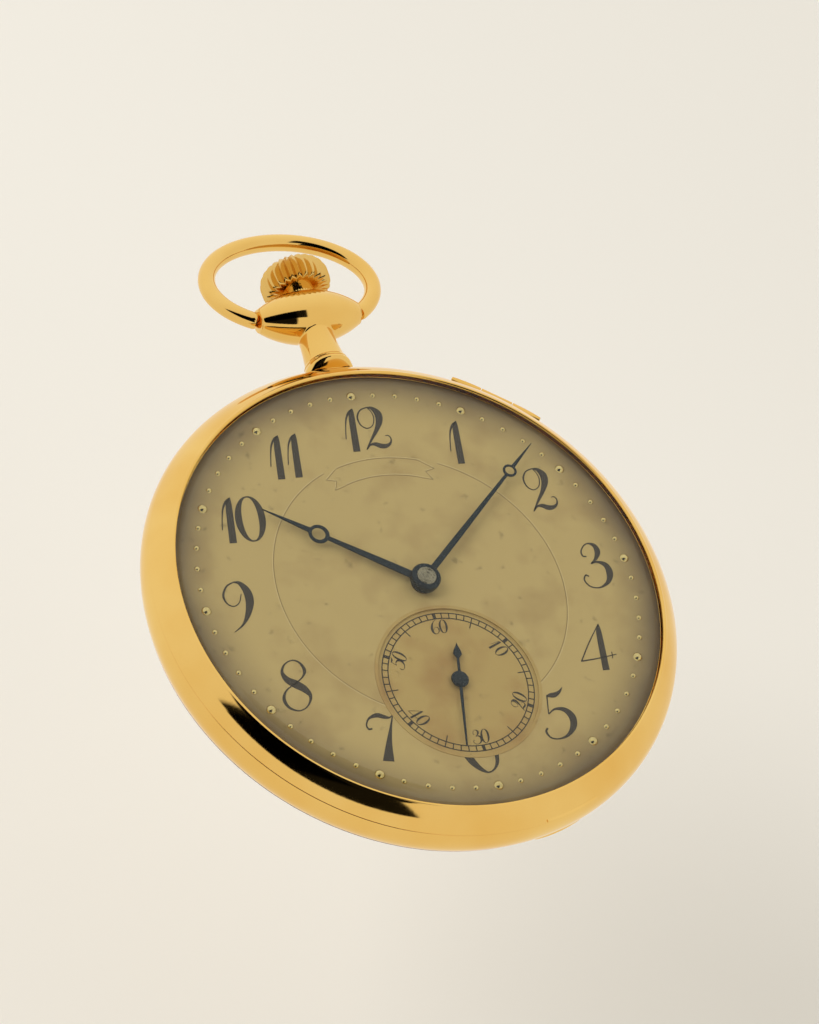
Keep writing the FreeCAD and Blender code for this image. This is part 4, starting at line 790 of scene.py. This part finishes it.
# %% Bow
bow_lean = math.radians(12.0)
bow_half_width = 8.15
bow_half_height = 6.1
bow_wire = 0.82


def bow_point(across, up, deep):
    y = up * math.cos(bow_lean) + deep * math.sin(bow_lean)
    z = -up * math.sin(bow_lean) + deep * math.cos(bow_lean)
    return watch(across, pendant_y + y, rim_z + z)


def tube(name, path, radii, place, material, sides=40):
    """A round tube along a path in a plane, closed at its ends."""
    bm = bmesh.new()
    rings = []
    for index, (across, up) in enumerate(path):
        before = path[max(index - 1, 0)]
        after = path[min(index + 1, len(path) - 1)]
        along = Vector((after[0] - before[0], after[1] - before[1])).normalized()
        side = Vector((-along.y, along.x))
        ring = []
        for corner in range(sides):
            turn = 2 * math.pi * corner / sides
            out = radii[index] * math.cos(turn)
            deep = radii[index] * math.sin(turn)
            ring.append(bm.verts.new(place(across + side.x * out, up + side.y * out, deep)))
        rings.append(ring)
    skin(bm, rings)
    bm.faces.new(rings[0][::-1])
    bm.faces.new(rings[-1])
    return finish_mesh(bm, name, material)


bow_centre = bow_half_height * math.sqrt(1 - (5.1 / bow_half_width) ** 2)
start_turn = -math.acos(5.14 / bow_half_width)
bow_path = []
bow_radii = []
for step in range(161):
    turn = start_turn + (math.pi - 2 * start_turn) * step / 160
    bow_path.append((bow_half_width * math.cos(turn), bow_centre + bow_half_height * math.sin(turn)))
    near_end = min(step, 160 - step) / 160
    bow_radii.append(bow_wire * (0.97 + 0.03 * min(1.0, near_end * 6)) * (0.9 if near_end == 0 else 1.0))
bow = tube("bow_ring_gold", bow_path, bow_radii, bow_point, case_gold)
ride(bow, "bow", "bow", slot="case_gold")
print("bow of", len(bow_path), "rings")

# %% [markdown]
# ## Crown
# The onion crown is cut with long V grooves so that a thumb can turn it. A gear-like extrusion would
# look flat. Here the lathe profile's radius is pulled in by a sharp wave around the axis, deepest at
# the widest part and fading out at the crest, which is how a fluting cutter leaves it.

# %% Crown
crown_flutes = 26
crown_low = 33.8
crown_high = 37.15
crown_profile = smooth_through([
    (2.5, crown_low), (2.95, crown_low + 0.06), (3.17, crown_low + 0.32), (3.28, crown_low + 0.8),
    (3.3, crown_low + 1.3), (3.24, crown_low + 1.75), (3.02, crown_low + 2.25), (2.5, crown_low + 2.75),
    (1.7, crown_low + 3.12), (0.8, crown_low + 3.3), (0.0, crown_high)], 6)
crown_steps = crown_flutes * 16
bm = bmesh.new()
crown_rings = []
for radius, height in crown_profile:
    share = (height - crown_low) / (crown_high - crown_low)
    depth = 0.6 * min(1.0, (1 - share) * 3.0) * min(1.0, 0.85 + share * 2)
    row = []
    for step in range(crown_steps):
        phase = (step / crown_steps * crown_flutes) % 1.0
        ridge = 1 - abs(2 * phase - 1)
        cut = depth * (1 - ridge)
        row.append(bm.verts.new(about_stem(max(radius - cut, 0.0), 2 * math.pi * step / crown_steps,
                                           height)))
    crown_rings.append(row)
skin(bm, crown_rings)
bm.faces.new(crown_rings[0][::-1])
crown = finish_mesh(bm, "crown_gold", crown_gold, 24.0)
ride(crown, "stem_and_crown", "crown", slot="case_gold")
skirt_line = profile_line([(0.45, 33.1), (1.5, 33.1), (1.5, 33.85), (0.45, 33.85)], 0.05)
ride(lathe("crown_skirt_gold", skirt_line, case_gold, about_stem, 64), "stem_and_crown", slot="case_gold")
print("crown with", crown_flutes, "flutes")

# %% [markdown]
# ## Dial
# The dial and the sunk seconds dial keep their CAD shapes, which are right, and get the gilt finish.
# The pearls are rebuilt as smooth domes: large ones at the hours, small ones at the minutes.

# %% Dial plates and pearls
for node, material in (("dial", dial_gilt), ("seconds_dial", seconds_gilt)):
    mesh_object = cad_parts[node]
    mesh_object.data.materials.clear()
    mesh_object.data.materials.append(material)

pearl_circle = 20.2
pearl_sides = 24
bm = bmesh.new()
for minute in range(60):
    radius = 0.5 if minute % 5 == 0 else 0.29
    x, y, _ = clock(pearl_circle, minute * 6)
    rows = []
    for level in range(9):
        tilt = math.radians(63) * level / 8
        top = radius * (math.cos(tilt) - 0.45)
        ring = []
        reach = radius * math.sin(tilt)
        for side in range(pearl_sides):
            turn = 2 * math.pi * side / pearl_sides
            place = watch(x + reach * math.cos(turn), y + reach * math.sin(turn), max(top, 0.0))
            ring.append(bm.verts.new(place))
        rows.append(ring)
    skin(bm, rows)
pearls = finish_mesh(bm, "minute_pearls_gilt", pale_gilt, 60)
ride(pearls, root, "minute_pearls", slot="gilt_pearl")
print("pearls on a circle of", pearl_circle, "mm")

# %% [markdown]
# ## Numerals
# The hours are black Arabic figures in an old French style: tall, leaning a little to the right, with
# fat curves that thin to hairlines. A ready font would miss them, so each figure is drawn as pen
# strokes. A stroke is a list of points, each with a place across, a height and a width of the pen.

# %% Figure strokes
figures = {
    "0": [[(-0.06 + 1.08 * math.sin(t * math.pi / 12), 2.3 + 2.27 * math.cos(t * math.pi / 12),
            0.12 + 0.52 * abs(math.sin(t * math.pi / 12)) ** 1.6) for t in range(25)]],
    "1": [[(0.42, 4.62, 0.06), (0.3, 4.3, 0.38), (0.2, 3.7, 0.58), (0.1, 2.0, 0.64), (0.0, 0.0, 0.68)],
          [(0.42, 4.6, 0.06), (0.02, 4.25, 0.24), (-0.36, 3.6, 0.16), (-0.6, 2.6, 0.1),
           (-0.78, 1.42, 0.09)]],
    "2": [[(0.8, 4.54, 0.12), (1.35, 4.38, 0.36), (1.8, 3.75, 0.7), (1.78, 2.95, 0.66),
           (1.35, 2.05, 0.42),
           (0.65, 1.05, 0.24), (0.0, 0.05, 0.12)],
          [(0.8, 4.54, 0.12), (0.15, 4.3, 0.14), (-0.25, 3.6, 0.17), (-0.1, 2.75, 0.12), (0.45, 2.3, 0.1),
           (1.05, 2.55, 0.1), (1.32, 3.3, 0.1), (1.2, 4.0, 0.08), (0.92, 4.45, 0.07)],
          [(0.0, 0.05, 0.1), (0.45, 0.5, 0.18), (0.95, 0.52, 0.4), (1.5, 0.26, 0.5), (2.0, 0.24, 0.4),
           (2.42, 0.5, 0.22), (2.55, 0.95, 0.12), (2.36, 1.3, 0.1), (2.05, 1.32, 0.07)]],
    "3": [[(0.75, 3.35, 0.12), (0.4, 3.45, 0.14), (0.35, 3.95, 0.14), (0.75, 4.5, 0.13),
           (1.25, 4.66, 0.15),
           (1.8, 4.35, 0.42), (1.95, 3.65, 0.56), (1.55, 2.95, 0.3), (1.0, 2.55, 0.1)],
          [(1.0, 2.55, 0.1), (1.7, 2.65, 0.22), (2.45, 2.2, 0.52), (2.62, 1.3, 0.66), (2.2, 0.45, 0.4),
           (1.3, 0.03, 0.14), (0.4, 0.25, 0.13), (-0.05, 0.95, 0.14), (0.18, 1.45, 0.16), (0.5, 1.3,
               0.12)]],
    "4": [[(0.36, 4.64, 0.05), (0.28, 4.3, 0.34), (0.2, 3.5, 0.56), (0.0, 0.0, 0.66)],
          [(0.34, 4.6, 0.08), (-1.0, 2.9, 0.11), (-2.16, 1.22, 0.12)],
          [(-2.2, 1.2, 0.13), (-0.4, 1.26, 0.11), (1.38, 1.4, 0.08)], [(0.98, 1.72, 0.08),
              (0.92, 1.05, 0.08)]],
    "5": [[(0.82, 4.2, 0.08), (1.15, 4.25, 0.4), (1.65, 4.25, 0.46), (2.15, 4.5, 0.24),
           (2.48, 4.87, 0.05)],
          [(0.86, 4.35, 0.13), (0.72, 3.4, 0.11), (0.6, 2.5, 0.1)],
          [(0.6, 2.5, 0.1), (1.3, 2.88, 0.2), (2.2, 2.68, 0.44), (2.75, 1.9, 0.66), (2.65, 1.0, 0.6),
           (1.95, 0.25, 0.3), (1.05, 0.03, 0.13), (0.3, 0.25, 0.14), (-0.02, 0.85, 0.2), (0.18, 1.2,
               0.18)]],
    "6": [[(1.85, 4.86, 0.08), (1.0, 4.25, 0.2), (0.4, 3.35, 0.5), (0.1, 2.2, 0.74), (0.2, 1.1, 0.68),
           (0.65, 0.25, 0.36), (1.25, 0.0, 0.12)],
          [(1.25, 0.0, 0.12), (1.9, 0.3, 0.18), (2.3, 1.1, 0.3), (2.05, 2.0, 0.22), (1.5, 2.35, 0.1),
           (0.95, 2.05, 0.08), (0.7, 1.4, 0.07)]],
    "7": [[(1.22, 4.2, 0.07), (0.78, 2.9, 0.26), (0.35, 1.5, 0.58), (0.0, 0.0, 1.04)],
          [(-0.85, 3.2, 0.14), (-1.18, 3.22, 0.16), (-1.3, 3.65, 0.14), (-0.95, 4.2, 0.2),
           (-0.2, 4.38, 0.42),
           (0.45, 4.12, 0.34), (0.9, 4.0, 0.16), (1.25, 4.22, 0.06)]],
    "8": [[(0.0, 2.55, 0.76), (0.72, 1.95, 0.62), (1.12, 1.2, 0.3), (0.7, 0.35, 0.13), (-0.1, 0.03, 0.12),
           (-0.95, 0.45, 0.22), (-1.28, 1.3, 0.3), (-0.9, 2.1, 0.14), (0.0, 2.62, 0.1), (0.75, 3.15,
               0.16),
           (1.02, 3.75, 0.3), (0.72, 4.5, 0.18), (0.1, 4.84, 0.12), (-0.65, 4.55, 0.15), (-1.0, 3.85,
               0.28),
           (-0.7, 3.1, 0.56), (0.0, 2.55, 0.76)]],
    "9": [[(0.7, 4.86, 0.12), (1.25, 4.66, 0.36), (1.76, 3.8, 0.7), (1.84, 2.7, 0.74), (1.45, 1.5, 0.48),
           (0.85, 0.6, 0.2), (0.0, 0.0, 0.06)],
          [(0.7, 4.86, 0.12), (0.0, 4.5, 0.16), (-0.42, 3.65, 0.2), (-0.2, 2.85, 0.13), (0.35, 2.5, 0.1),
           (0.9, 2.8, 0.09), (1.2, 3.6, 0.08)]],
}
figure_lean = 0.14
print("figures drawn", "".join(sorted(figures)))

# %% Ink the hours
ink_top = 0.02


def ink_strip(bm, path, place):
    """One pen stroke: a flat strip with low sides."""
    sides = []
    for index, (x, y, width) in enumerate(path):
        before = path[max(index - 1, 0)]
        after = path[min(index + 1, len(path) - 1)]
        along = Vector((after[0] - before[0], after[1] - before[1]))
        along = along.normalized() if along.length > 1e-9 else Vector((0.0, 1.0))
        across = Vector((-along.y, along.x)) * max(width, 0.05) / 2
        sides.append([(x + across.x, y + across.y), (x - across.x, y - across.y)])
    rows = []
    for left, right in sides:
        rows.append([bm.verts.new(place(*left, 0.0)), bm.verts.new(place(*left, ink_top)),
                     bm.verts.new(place(*right, ink_top)), bm.verts.new(place(*right, 0.0))])
    skin(bm, rows, around=False)
    bm.faces.new(rows[0])
    bm.faces.new(rows[-1][::-1])


def ink_figure(bm, digit, place):
    for stroke in figures[digit]:
        ink_strip(bm, smooth_through(stroke, 7), place)


def upright(x0, y0, scale=1.0):
    """Places a figure standing upright on the dial with its foot at a point."""
    def place(u, v, height):
        return watch(x0 + (u + figure_lean * v) * scale, y0 + v * scale, height)
    return place


hours = [("1", -1.43, 14.25), ("2", -0.42, 14.3), ("1", 8.13, 11.8), ("2", 13.28, 5.9),
         ("3", 15.35, -2.73),
         ("4", 14.0, -10.95), ("5", 6.03, -16.84), ("7", -8.93, -16.43), ("8", -15.0, -10.61),
         ("9", -18.38, -2.39), ("1", -15.8, 6.3), ("0", -13.78, 6.24), ("1", -9.38, 12.2), ("1", -7.71,
             12.2)]
bm = bmesh.new()
for digit, x0, y0 in hours:
    ink_figure(bm, digit, upright(x0, y0))
six_bowl = [(-1.78, -17.05, 0.74), (-1.5, -17.8, 0.64), (-1.02, -18.5, 0.38), (-0.45, -18.88, 0.14),
            (0.2, -18.62, 0.18), (0.66, -18.0, 0.32), (0.86, -17.2, 0.4)]
ink_strip(bm, smooth_through(six_bowl, 8), watch)
ride(finish_mesh(bm, "hour_numerals_black", black_paint, 40), root)
print("hours inked:", len(hours), "figures and the foot of the 6")

# %% [markdown]
# ## Seconds dial
# The small dial has a railway track of sixty cells, heavy bars at the tens, ticks that reach inwards
# between them, and its own figures. They are the same strokes, smaller, turned to face the centre.

# %% Seconds track and figures


def ink_ring(bm, centre, inner, outer, steps=160, first=0.0, last=360.0, top=ink_top, base=0.0):
    """A flat ring or arc of ink."""
    rows = []
    for step in range(steps + 1):
        degrees = first + (last - first) * step / steps
        row = []
        for radius, height in ((inner, base), (inner, top), (outer, top), (outer, base)):
            row.append(bm.verts.new(watch(*clock(radius, degrees, height, centre))))
        rows.append(row)
    skin(bm, rows, around=False)


seconds_drop = -0.14
small = (0.0, seconds_y)
bm = bmesh.new()
for inner, outer in ((6.81, 6.9), (6.28, 6.37)):
    ink_ring(bm, small, inner, outer, 200, 0, 360, seconds_drop + ink_top, seconds_drop)
for second in range(60):
    low, width = (6.3, 0.09)
    if second % 10 == 0:
        low, width = (6.3, 0.3)
    elif second % 5 == 0:
        low, width = (5.7, 0.09)
    start = clock(low, second * 6, 0, small)
    end = clock(6.87, second * 6, 0, small)

    def sunk(x, y, height):
        return watch(x, y, seconds_drop + height)
    ink_strip(bm, [(start[0], start[1], width), (end[0], end[1], width)], sunk)


def turned(degrees, radius, inward, scale, shift):
    """Places a small figure on the seconds circle, its head outwards or towards the centre."""
    def place(u, v, height):
        across = (u + figure_lean * v) * scale + shift
        up = (v - 2.3) * scale
        if inward:
            across, up = -across, -up
        turn = math.radians(degrees)
        x = (radius + up) * math.sin(turn) + across * math.cos(turn)
        y = (radius + up) * math.cos(turn) - across * math.sin(turn)
        return watch(x, seconds_y + y, seconds_drop + height)
    return place


small_scale = 0.29
for degrees, pair, inward in ((0, "60", False), (60, "10", False), (120, "20", True), (180, "30", True),
                              (240, "40", True), (300, "50", False)):
    widths = {"1": -0.35, "2": -1.2, "3": -1.3, "4": 0.2, "5": -1.4, "6": -1.2}
    first_shift = (widths[pair[0]] - 1.45) * small_scale + (0.05 if pair[0] != "4" else 0.0)
    for digit, shift in ((pair[0], first_shift), (pair[1], 0.42)):
        if pair[0] == "1" and digit == "1":
            shift = -0.42
        ink_figure(bm, digit, turned(degrees, 5.5, inward, small_scale, shift))
ride(finish_mesh(bm, "seconds_print_black", black_paint, 40), root)
print("seconds track printed")

# %% [markdown]
# ## Engraving
# A fine circle is scribed inside the numerals, with a blank ribbon under the 12. The real lines are a
# few hundredths of a millimetre wide. They are drawn at about a tenth, as a painted highlight along one
# edge and painted shade along the other.

# %% Scribed lines
painted_highlight_mesh = bmesh.new()
shade = bmesh.new()
line_top = 0.006
# The bright line is a painted highlight, and the dark one set 0.09 mm in is painted shade.
for bm_line, offset, top in ((painted_highlight_mesh, 0.0, line_top), (shade, -0.09, line_top * 0.8)):
    for first, last in ((25.5, 147.0), (213.0, 336.5)):
        ink_ring(bm_line, (0, 0), 13.45 + offset, 13.53 + offset, 120, first, last, top)
    for radius, first, last in ((13.35, -17.5, 18.5), (11.5, -18.5, 19.5)):
        ink_ring(bm_line, (0, 0), radius + offset, radius + offset + 0.08, 60, first, last, top)
    for side in (-1, 1):
        tips = [(13.35, side * 18.0), (12.85, side * 24.5), (12.3, side * 21.0), (11.6, side * 24.5),
                (11.5, side * 19.0)]
        for (r1, c1), (r2, c2) in zip(tips[:-1], tips[1:]):
            a, b = clock(r1 + offset, c1), clock(r2 + offset, c2)
            ink_strip(bm_line, [(a[0], a[1], 0.07), (b[0], b[1], 0.07)],
                      lambda x, y, h: watch(x, y, min(h, line_top)))
ride(finish_mesh(painted_highlight_mesh, "scribed_line_painted_highlight", engraved_line_highlight, 40), root)
ride(finish_mesh(shade, "scribed_line_shade", shaded_line, 40), root)
print("circle and ribbon scribed")

# %% [markdown]
# ## Hands
# The hands are thin blued steel with a moon-shaped eye near the tip, and rounded edges. A filled 2D
# curve gives the outline with its hole in one go: Blender extrudes it and rounds its edge, and the
# result is kept as a mesh.

# %% Hour, minute and seconds hands


def circle_line(centre, radius, steps=64):
    return [(centre[0] + radius * math.cos(2 * math.pi * step / steps),
             centre[1] + radius * math.sin(2 * math.pi * step / steps)) for step in range(steps)]


def flat_piece(name, loops, low, high, ease, material, centre=(0.0, 0.0), degrees=0.0):
    """A flat piece from closed loops; a loop inside another is a hole. Drawn towards 12, then turned."""
    curve = bpy.data.curves.new(name, "CURVE")
    curve.dimensions = "2D"
    curve.fill_mode = "BOTH"
    curve.extrude = max((high - low) / 2 - ease, 0.001)
    curve.bevel_depth = ease
    curve.bevel_resolution = 3
    curve.offset = -ease
    for loop in loops:
        spline = curve.splines.new("POLY")
        spline.points.add(len(loop) - 1)
        for point, (x, y) in zip(spline.points, loop):
            point.co = (x, y, 0.0, 1.0)
        spline.use_cyclic_u = True
    holder = bpy.data.objects.new(name, curve)
    bpy.context.scene.collection.objects.link(holder)
    graph = bpy.context.evaluated_depsgraph_get()
    mesh = bpy.data.meshes.new_from_object(holder.evaluated_get(graph))
    bpy.data.objects.remove(holder)
    turn = math.radians(degrees)
    bm = bmesh.new()
    bm.from_mesh(mesh)
    for vert in bm.verts:
        x, y, z = vert.co
        vert.co = watch(centre[0] + x * math.cos(turn) + y * math.sin(turn),
                        centre[1] - x * math.sin(turn) + y * math.cos(turn), (low + high) / 2 + z)
    return finish_mesh(bm, name, material, 40)


def eye_outline(boss, root_width, neck_width, eye_at, eye_radius, length):
    """The outer line of a hand with a round eye."""
    right = [(root_width / 2, boss * 0.6), (root_width / 2 * 0.92, eye_at * 0.35),
             (neck_width / 2, eye_at - eye_radius)]
    eye = []
    for step in range(0, 33):
        turn = math.radians(-72 + 144 * step / 32)
        eye.append((eye_radius * math.cos(turn), eye_at + eye_radius * math.sin(turn)))
    tip = [(neck_width * 0.62, eye_at + eye_radius * 1.02), (0.035, length)]
    side = right + eye + tip
    return side + [(-x, y) for x, y in side[::-1]]


hour_degrees = 306.0
minute_degrees = 50.3
seconds_degrees = 194.5
hour_loops = [eye_outline(1.25, 0.78, 0.42, 9.98, 0.95, 15.35), circle_line((0.0, 10.02), 0.62)]
hour_hand = flat_piece("hour_blade", hour_loops, 0.5, 0.63, 0.035, blued_steel, (0, 0), hour_degrees)
hour_boss = lathe("hour_boss", profile_line([(0.86, 0.34), (1.22, 0.34), (1.27, 0.45), (1.27, 0.63),
                                             (0.86, 0.63)], 0.05),
                  blued_steel, about_hands, 72)
ride(join("hour_hand_blued", [hour_hand, hour_boss]), "hour_group", "hour_hand", slot="blued_steel")

minute_loops = [eye_outline(1.1, 0.6, 0.3, 15.6, 0.66, 19.75), circle_line((0.0, 15.62), 0.44)]
minute_hand = flat_piece("minute_blade", minute_loops, 0.8, 0.93, 0.035, blued_steel, (0, 0),
                         minute_degrees)
minute_boss = lathe("minute_boss", profile_line([
    (0.56, 0.69), (1.28, 0.69), (1.36, 0.8), (1.34, 1.2), (1.2, 1.36), (0.95, 1.38), (0.9, 1.3), (0.56,
        1.3)], 0.04),
    blued_steel, about_hands, 72)
ride(join("minute_hand_blued", [minute_hand, minute_boss]), "minute_group", "minute_hand",
     slot="blued_steel")
cap_line = profile_line([
    (0.0, 1.15), (0.88, 1.15), (0.88, 1.34), (0.74, 1.39), (0.62, 1.33), (0.5, 1.39), (0.36,
        1.41), (0.28, 1.33),
    (0.14, 1.33), (0.1, 1.38), (0.0, 1.38)], 0.02, False)
ride(lathe("cannon_end_steel", cap_line, bare_steel, about_hands, 64, False), "minute_group",
     slot="steel")

seconds_loop = [(0.15, 0.3), (0.13, 2.5), (0.08, 6.5), (-0.08, 6.5), (-0.13, 2.5), (-0.15, 0.3),
                (-0.13, -0.3),
                (-0.12, -2.1), (-0.4, -2.5), (-0.33, -2.85), (-0.12, -3.3), (0.0, -3.65), (0.12,
                    -3.3), (0.33, -2.85),
                (0.4, -2.5), (0.12, -2.1), (0.13, -0.3)]
seconds_blade = flat_piece("seconds_blade", [seconds_loop], 0.2, 0.3, 0.03, blued_steel, small,
                           seconds_degrees)


def about_seconds(radius, turn, height):
    return watch(radius * math.cos(turn), seconds_y + radius * math.sin(turn), height)


seconds_boss = lathe("seconds_boss", profile_line([
    (0.0, 0.1), (0.72, 0.1), (0.8, 0.2), (0.77, 0.34), (0.5, 0.44), (0.0, 0.46)], 0.03, False),
    blued_steel, about_seconds, 64, False)
ride(join("seconds_hand_blued", [seconds_blade, seconds_boss]), "fourth_wheel", "seconds_hand",
     slot="blued_steel")
print("hands at", hour_degrees, minute_degrees, seconds_degrees, "degrees")

# %% [markdown]
# ## The works
# The wheels, levers and plates keep their CAD shapes. Each only needs the finish its real material has.

# %% Finishes for the works
finishes = {
    works_steel: ["pendant_tube", "hinge_pins", "cannon_pinion", "escape_wheel", "pallet_fork",
                  "balance_staff",
                  "roller", "barrel_arbor", "mainspring", "ratchet_wheel", "ratchet_screw", "crown_wheel",
                  "crown_wheel_core", "winding_pinion", "winding_stem", "sliding_clutch", "setting_lever",
                  "yoke", "click", "click_spring", "regulator"],
    wheel_brass: ["hour_wheel", "minute_wheel", "setting_wheel", "centre_wheel", "third_wheel",
                  "fourth_wheel",
                  "balance_wheel", "barrel_drum", "barrel_cover"],
    plate_gilt: ["mainplate", "train_bridge", "barrel_bridge", "balance_cock", "pallet_cock"],
    blued_steel: ["hairspring", "bridge_screws", "case_screws"],
    ruby: ["jewels", "pallet_jewels"],
}
for material, nodes in finishes.items():
    for node in nodes:
        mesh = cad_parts[node].data
        mesh.materials.clear()
        mesh.materials.append(material)
print("finished", sum(len(nodes) for nodes in finishes.values()), "works pieces")

# %% [markdown]
# ## Studio
# A polished case shows the room more than itself. It is lit by a pale surrounding and one large soft
# light, and dark cards beside the lens give the gold its black reflections. The floor is plain and
# pale, and lies a lid's length below the watch, so that the back can be swung open above it.

# %% Floor, flag and lights
scene = bpy.context.scene
scene.view_settings.view_transform = "Standard"
world = bpy.data.worlds.new("pale_studio")
scene.world = world
world.use_nodes = True
world_tree = world.node_tree
background = world_tree.nodes["Background"]
background.inputs["Strength"].default_value = 1.0
sky_place = add_node(world_tree, "ShaderNodeTexCoord")
sky_axes = add_node(world_tree, "ShaderNodeSeparateXYZ", links={"Vector": sky_place.outputs["Generated"]})


def beyond(axis, limit, sign, soft=0.015):
    """One where the direction lies past a limit along an axis, else nothing."""
    low, high = (limit - soft, limit + soft) if sign > 0 else (limit + soft, limit - soft)
    return add_node(world_tree, "ShaderNodeMapRange", {"From Min": low, "From Max": high},
                    {"Value": sky_axes.outputs[axis]}).outputs["Result"]


def dark_card(limits, darkness, softness):
    """A dark card in the tent. Where all its limits hold, the light falls by its darkness."""
    held = None
    for axis, limit, sign in limits:
        here = beyond(axis, limit, sign, softness)
        if held is None:
            held = here
            continue
        both = add_node(world_tree, "ShaderNodeMath", {"operation": "MULTIPLY"}, {0: held, 1: here})
        held = both.outputs[0]
    left = add_node(world_tree, "ShaderNodeMath", {"operation": "MULTIPLY_ADD"}, {0: held})
    left.inputs[1].default_value = -darkness
    left.inputs[2].default_value = 1.0
    return left.outputs[0]


card_darkness = 0.99
lens_side = dark_card([("Z", 0.48, 1), ("Y", -0.12, -1), ("X", -0.05, -1)], card_darkness, 0.012)
lens_wing = dark_card([("Z", 0.5, 1), ("Y", -0.05, -1), ("Y", -0.55, 1), ("X", 0.16, -1)],
                      card_darkness, 0.02)
cards = add_node(world_tree, "ShaderNodeMath", {"operation": "MULTIPLY"}, {0: lens_side, 1: lens_wing})
tent = ramp(world_tree, sky_axes.outputs["Y"], [(0.0, linear("F4EEE2")), (1.0, linear("FFFDF8"))])
shaped = add_node(world_tree, "ShaderNodeMix", {"data_type": "RGBA", "blend_type": "MULTIPLY"})
shaped.inputs["Factor"].default_value = 1.0
world_tree.links.new(tent, shaped.inputs["A"])
world_tree.links.new(cards.outputs[0], shaped.inputs["B"])
world_tree.links.new(shaped.outputs["Result"], background.inputs["Color"])
plain = add_node(world_tree, "ShaderNodeBackground", {"Color": (1.0, 1.0, 1.0, 1.0), "Strength": 1.0})
path = add_node(world_tree, "ShaderNodeLightPath")
seen = add_node(world_tree, "ShaderNodeMixShader", links={"Fac": path.outputs["Is Camera Ray"]})
world_tree.links.new(background.outputs[0], seen.inputs[1])
world_tree.links.new(plain.outputs[0], seen.inputs[2])
world_tree.links.new(seen.outputs[0], world_tree.nodes["World Output"].inputs["Surface"])


def panel(name, centre, facing, width, height, material):
    """A flat rectangle that faces a direction."""
    facing = Vector(facing).normalized()
    turn = facing.to_track_quat("Z", "Y").to_matrix()
    bm = bmesh.new()
    corners = []
    for x, y in ((-1, -1), (1, -1), (1, 1), (-1, 1)):
        corners.append(bm.verts.new(Vector(centre) + turn @ Vector((x * width / 2, y * height / 2, 0.0))))
    bm.faces.new(corners)
    obj = finish_mesh(bm, name, material)
    return obj


floor_paint, _, _ = new_material("pale_floor_paint", {"Base Color": linear("EFEDE8"), "Roughness": 0.6})
floor_drop = 0.055
floor_size = 6.0
floor = panel("studio_floor", (0.0, 0.0, -floor_drop), (0, 0, 1), floor_size, floor_size, floor_paint)
floor.visible_glossy = False


def softbox(name, centre, target, size, power):
    light = bpy.data.lights.new(name, "AREA")
    light.shape = "RECTANGLE"
    light.size, light.size_y = size
    light.energy = power
    obj = bpy.data.objects.new(name, light)
    scene.collection.objects.link(obj)
    obj.location = centre
    obj.visible_glossy = False
    obj.rotation_euler = (Vector(target) - Vector(centre)).to_track_quat("-Z", "Y").to_euler()
    return obj


softbox("key_softbox", (-0.50, 0.20, 0.50), (0, 0, 0), (0.4, 0.4), 2.4)
print("studio ready")

# %% [markdown]
# ## Camera
# The camera looks down at the watch from the side of its 7 o'clock, with a long lens, so the round case
# shows as an oval.

# %% Camera
camera_data = bpy.data.cameras.new("camera")
camera_data.lens = 103.1
camera_data.sensor_width = 36.0
camera_data.sensor_fit = "AUTO"
camera_data.clip_start = 0.01
camera_data.clip_end = 20.0
camera = bpy.data.objects.new("camera", camera_data)
scene.collection.objects.link(camera)
right = Vector((0.900, -0.316, 0.300)).normalized()
back_way = Vector((-0.423, -0.469, 0.775)).normalized()
up_way = back_way.cross(right).normalized()
right = up_way.cross(back_way)
placed = Matrix((right, up_way, back_way)).transposed().to_4x4()
placed.translation = Vector((-0.1083, -0.1142, 0.2107))
camera.matrix_world = placed
scene.camera = camera
print("camera at", tuple(round(value, 3) for value in camera.location))
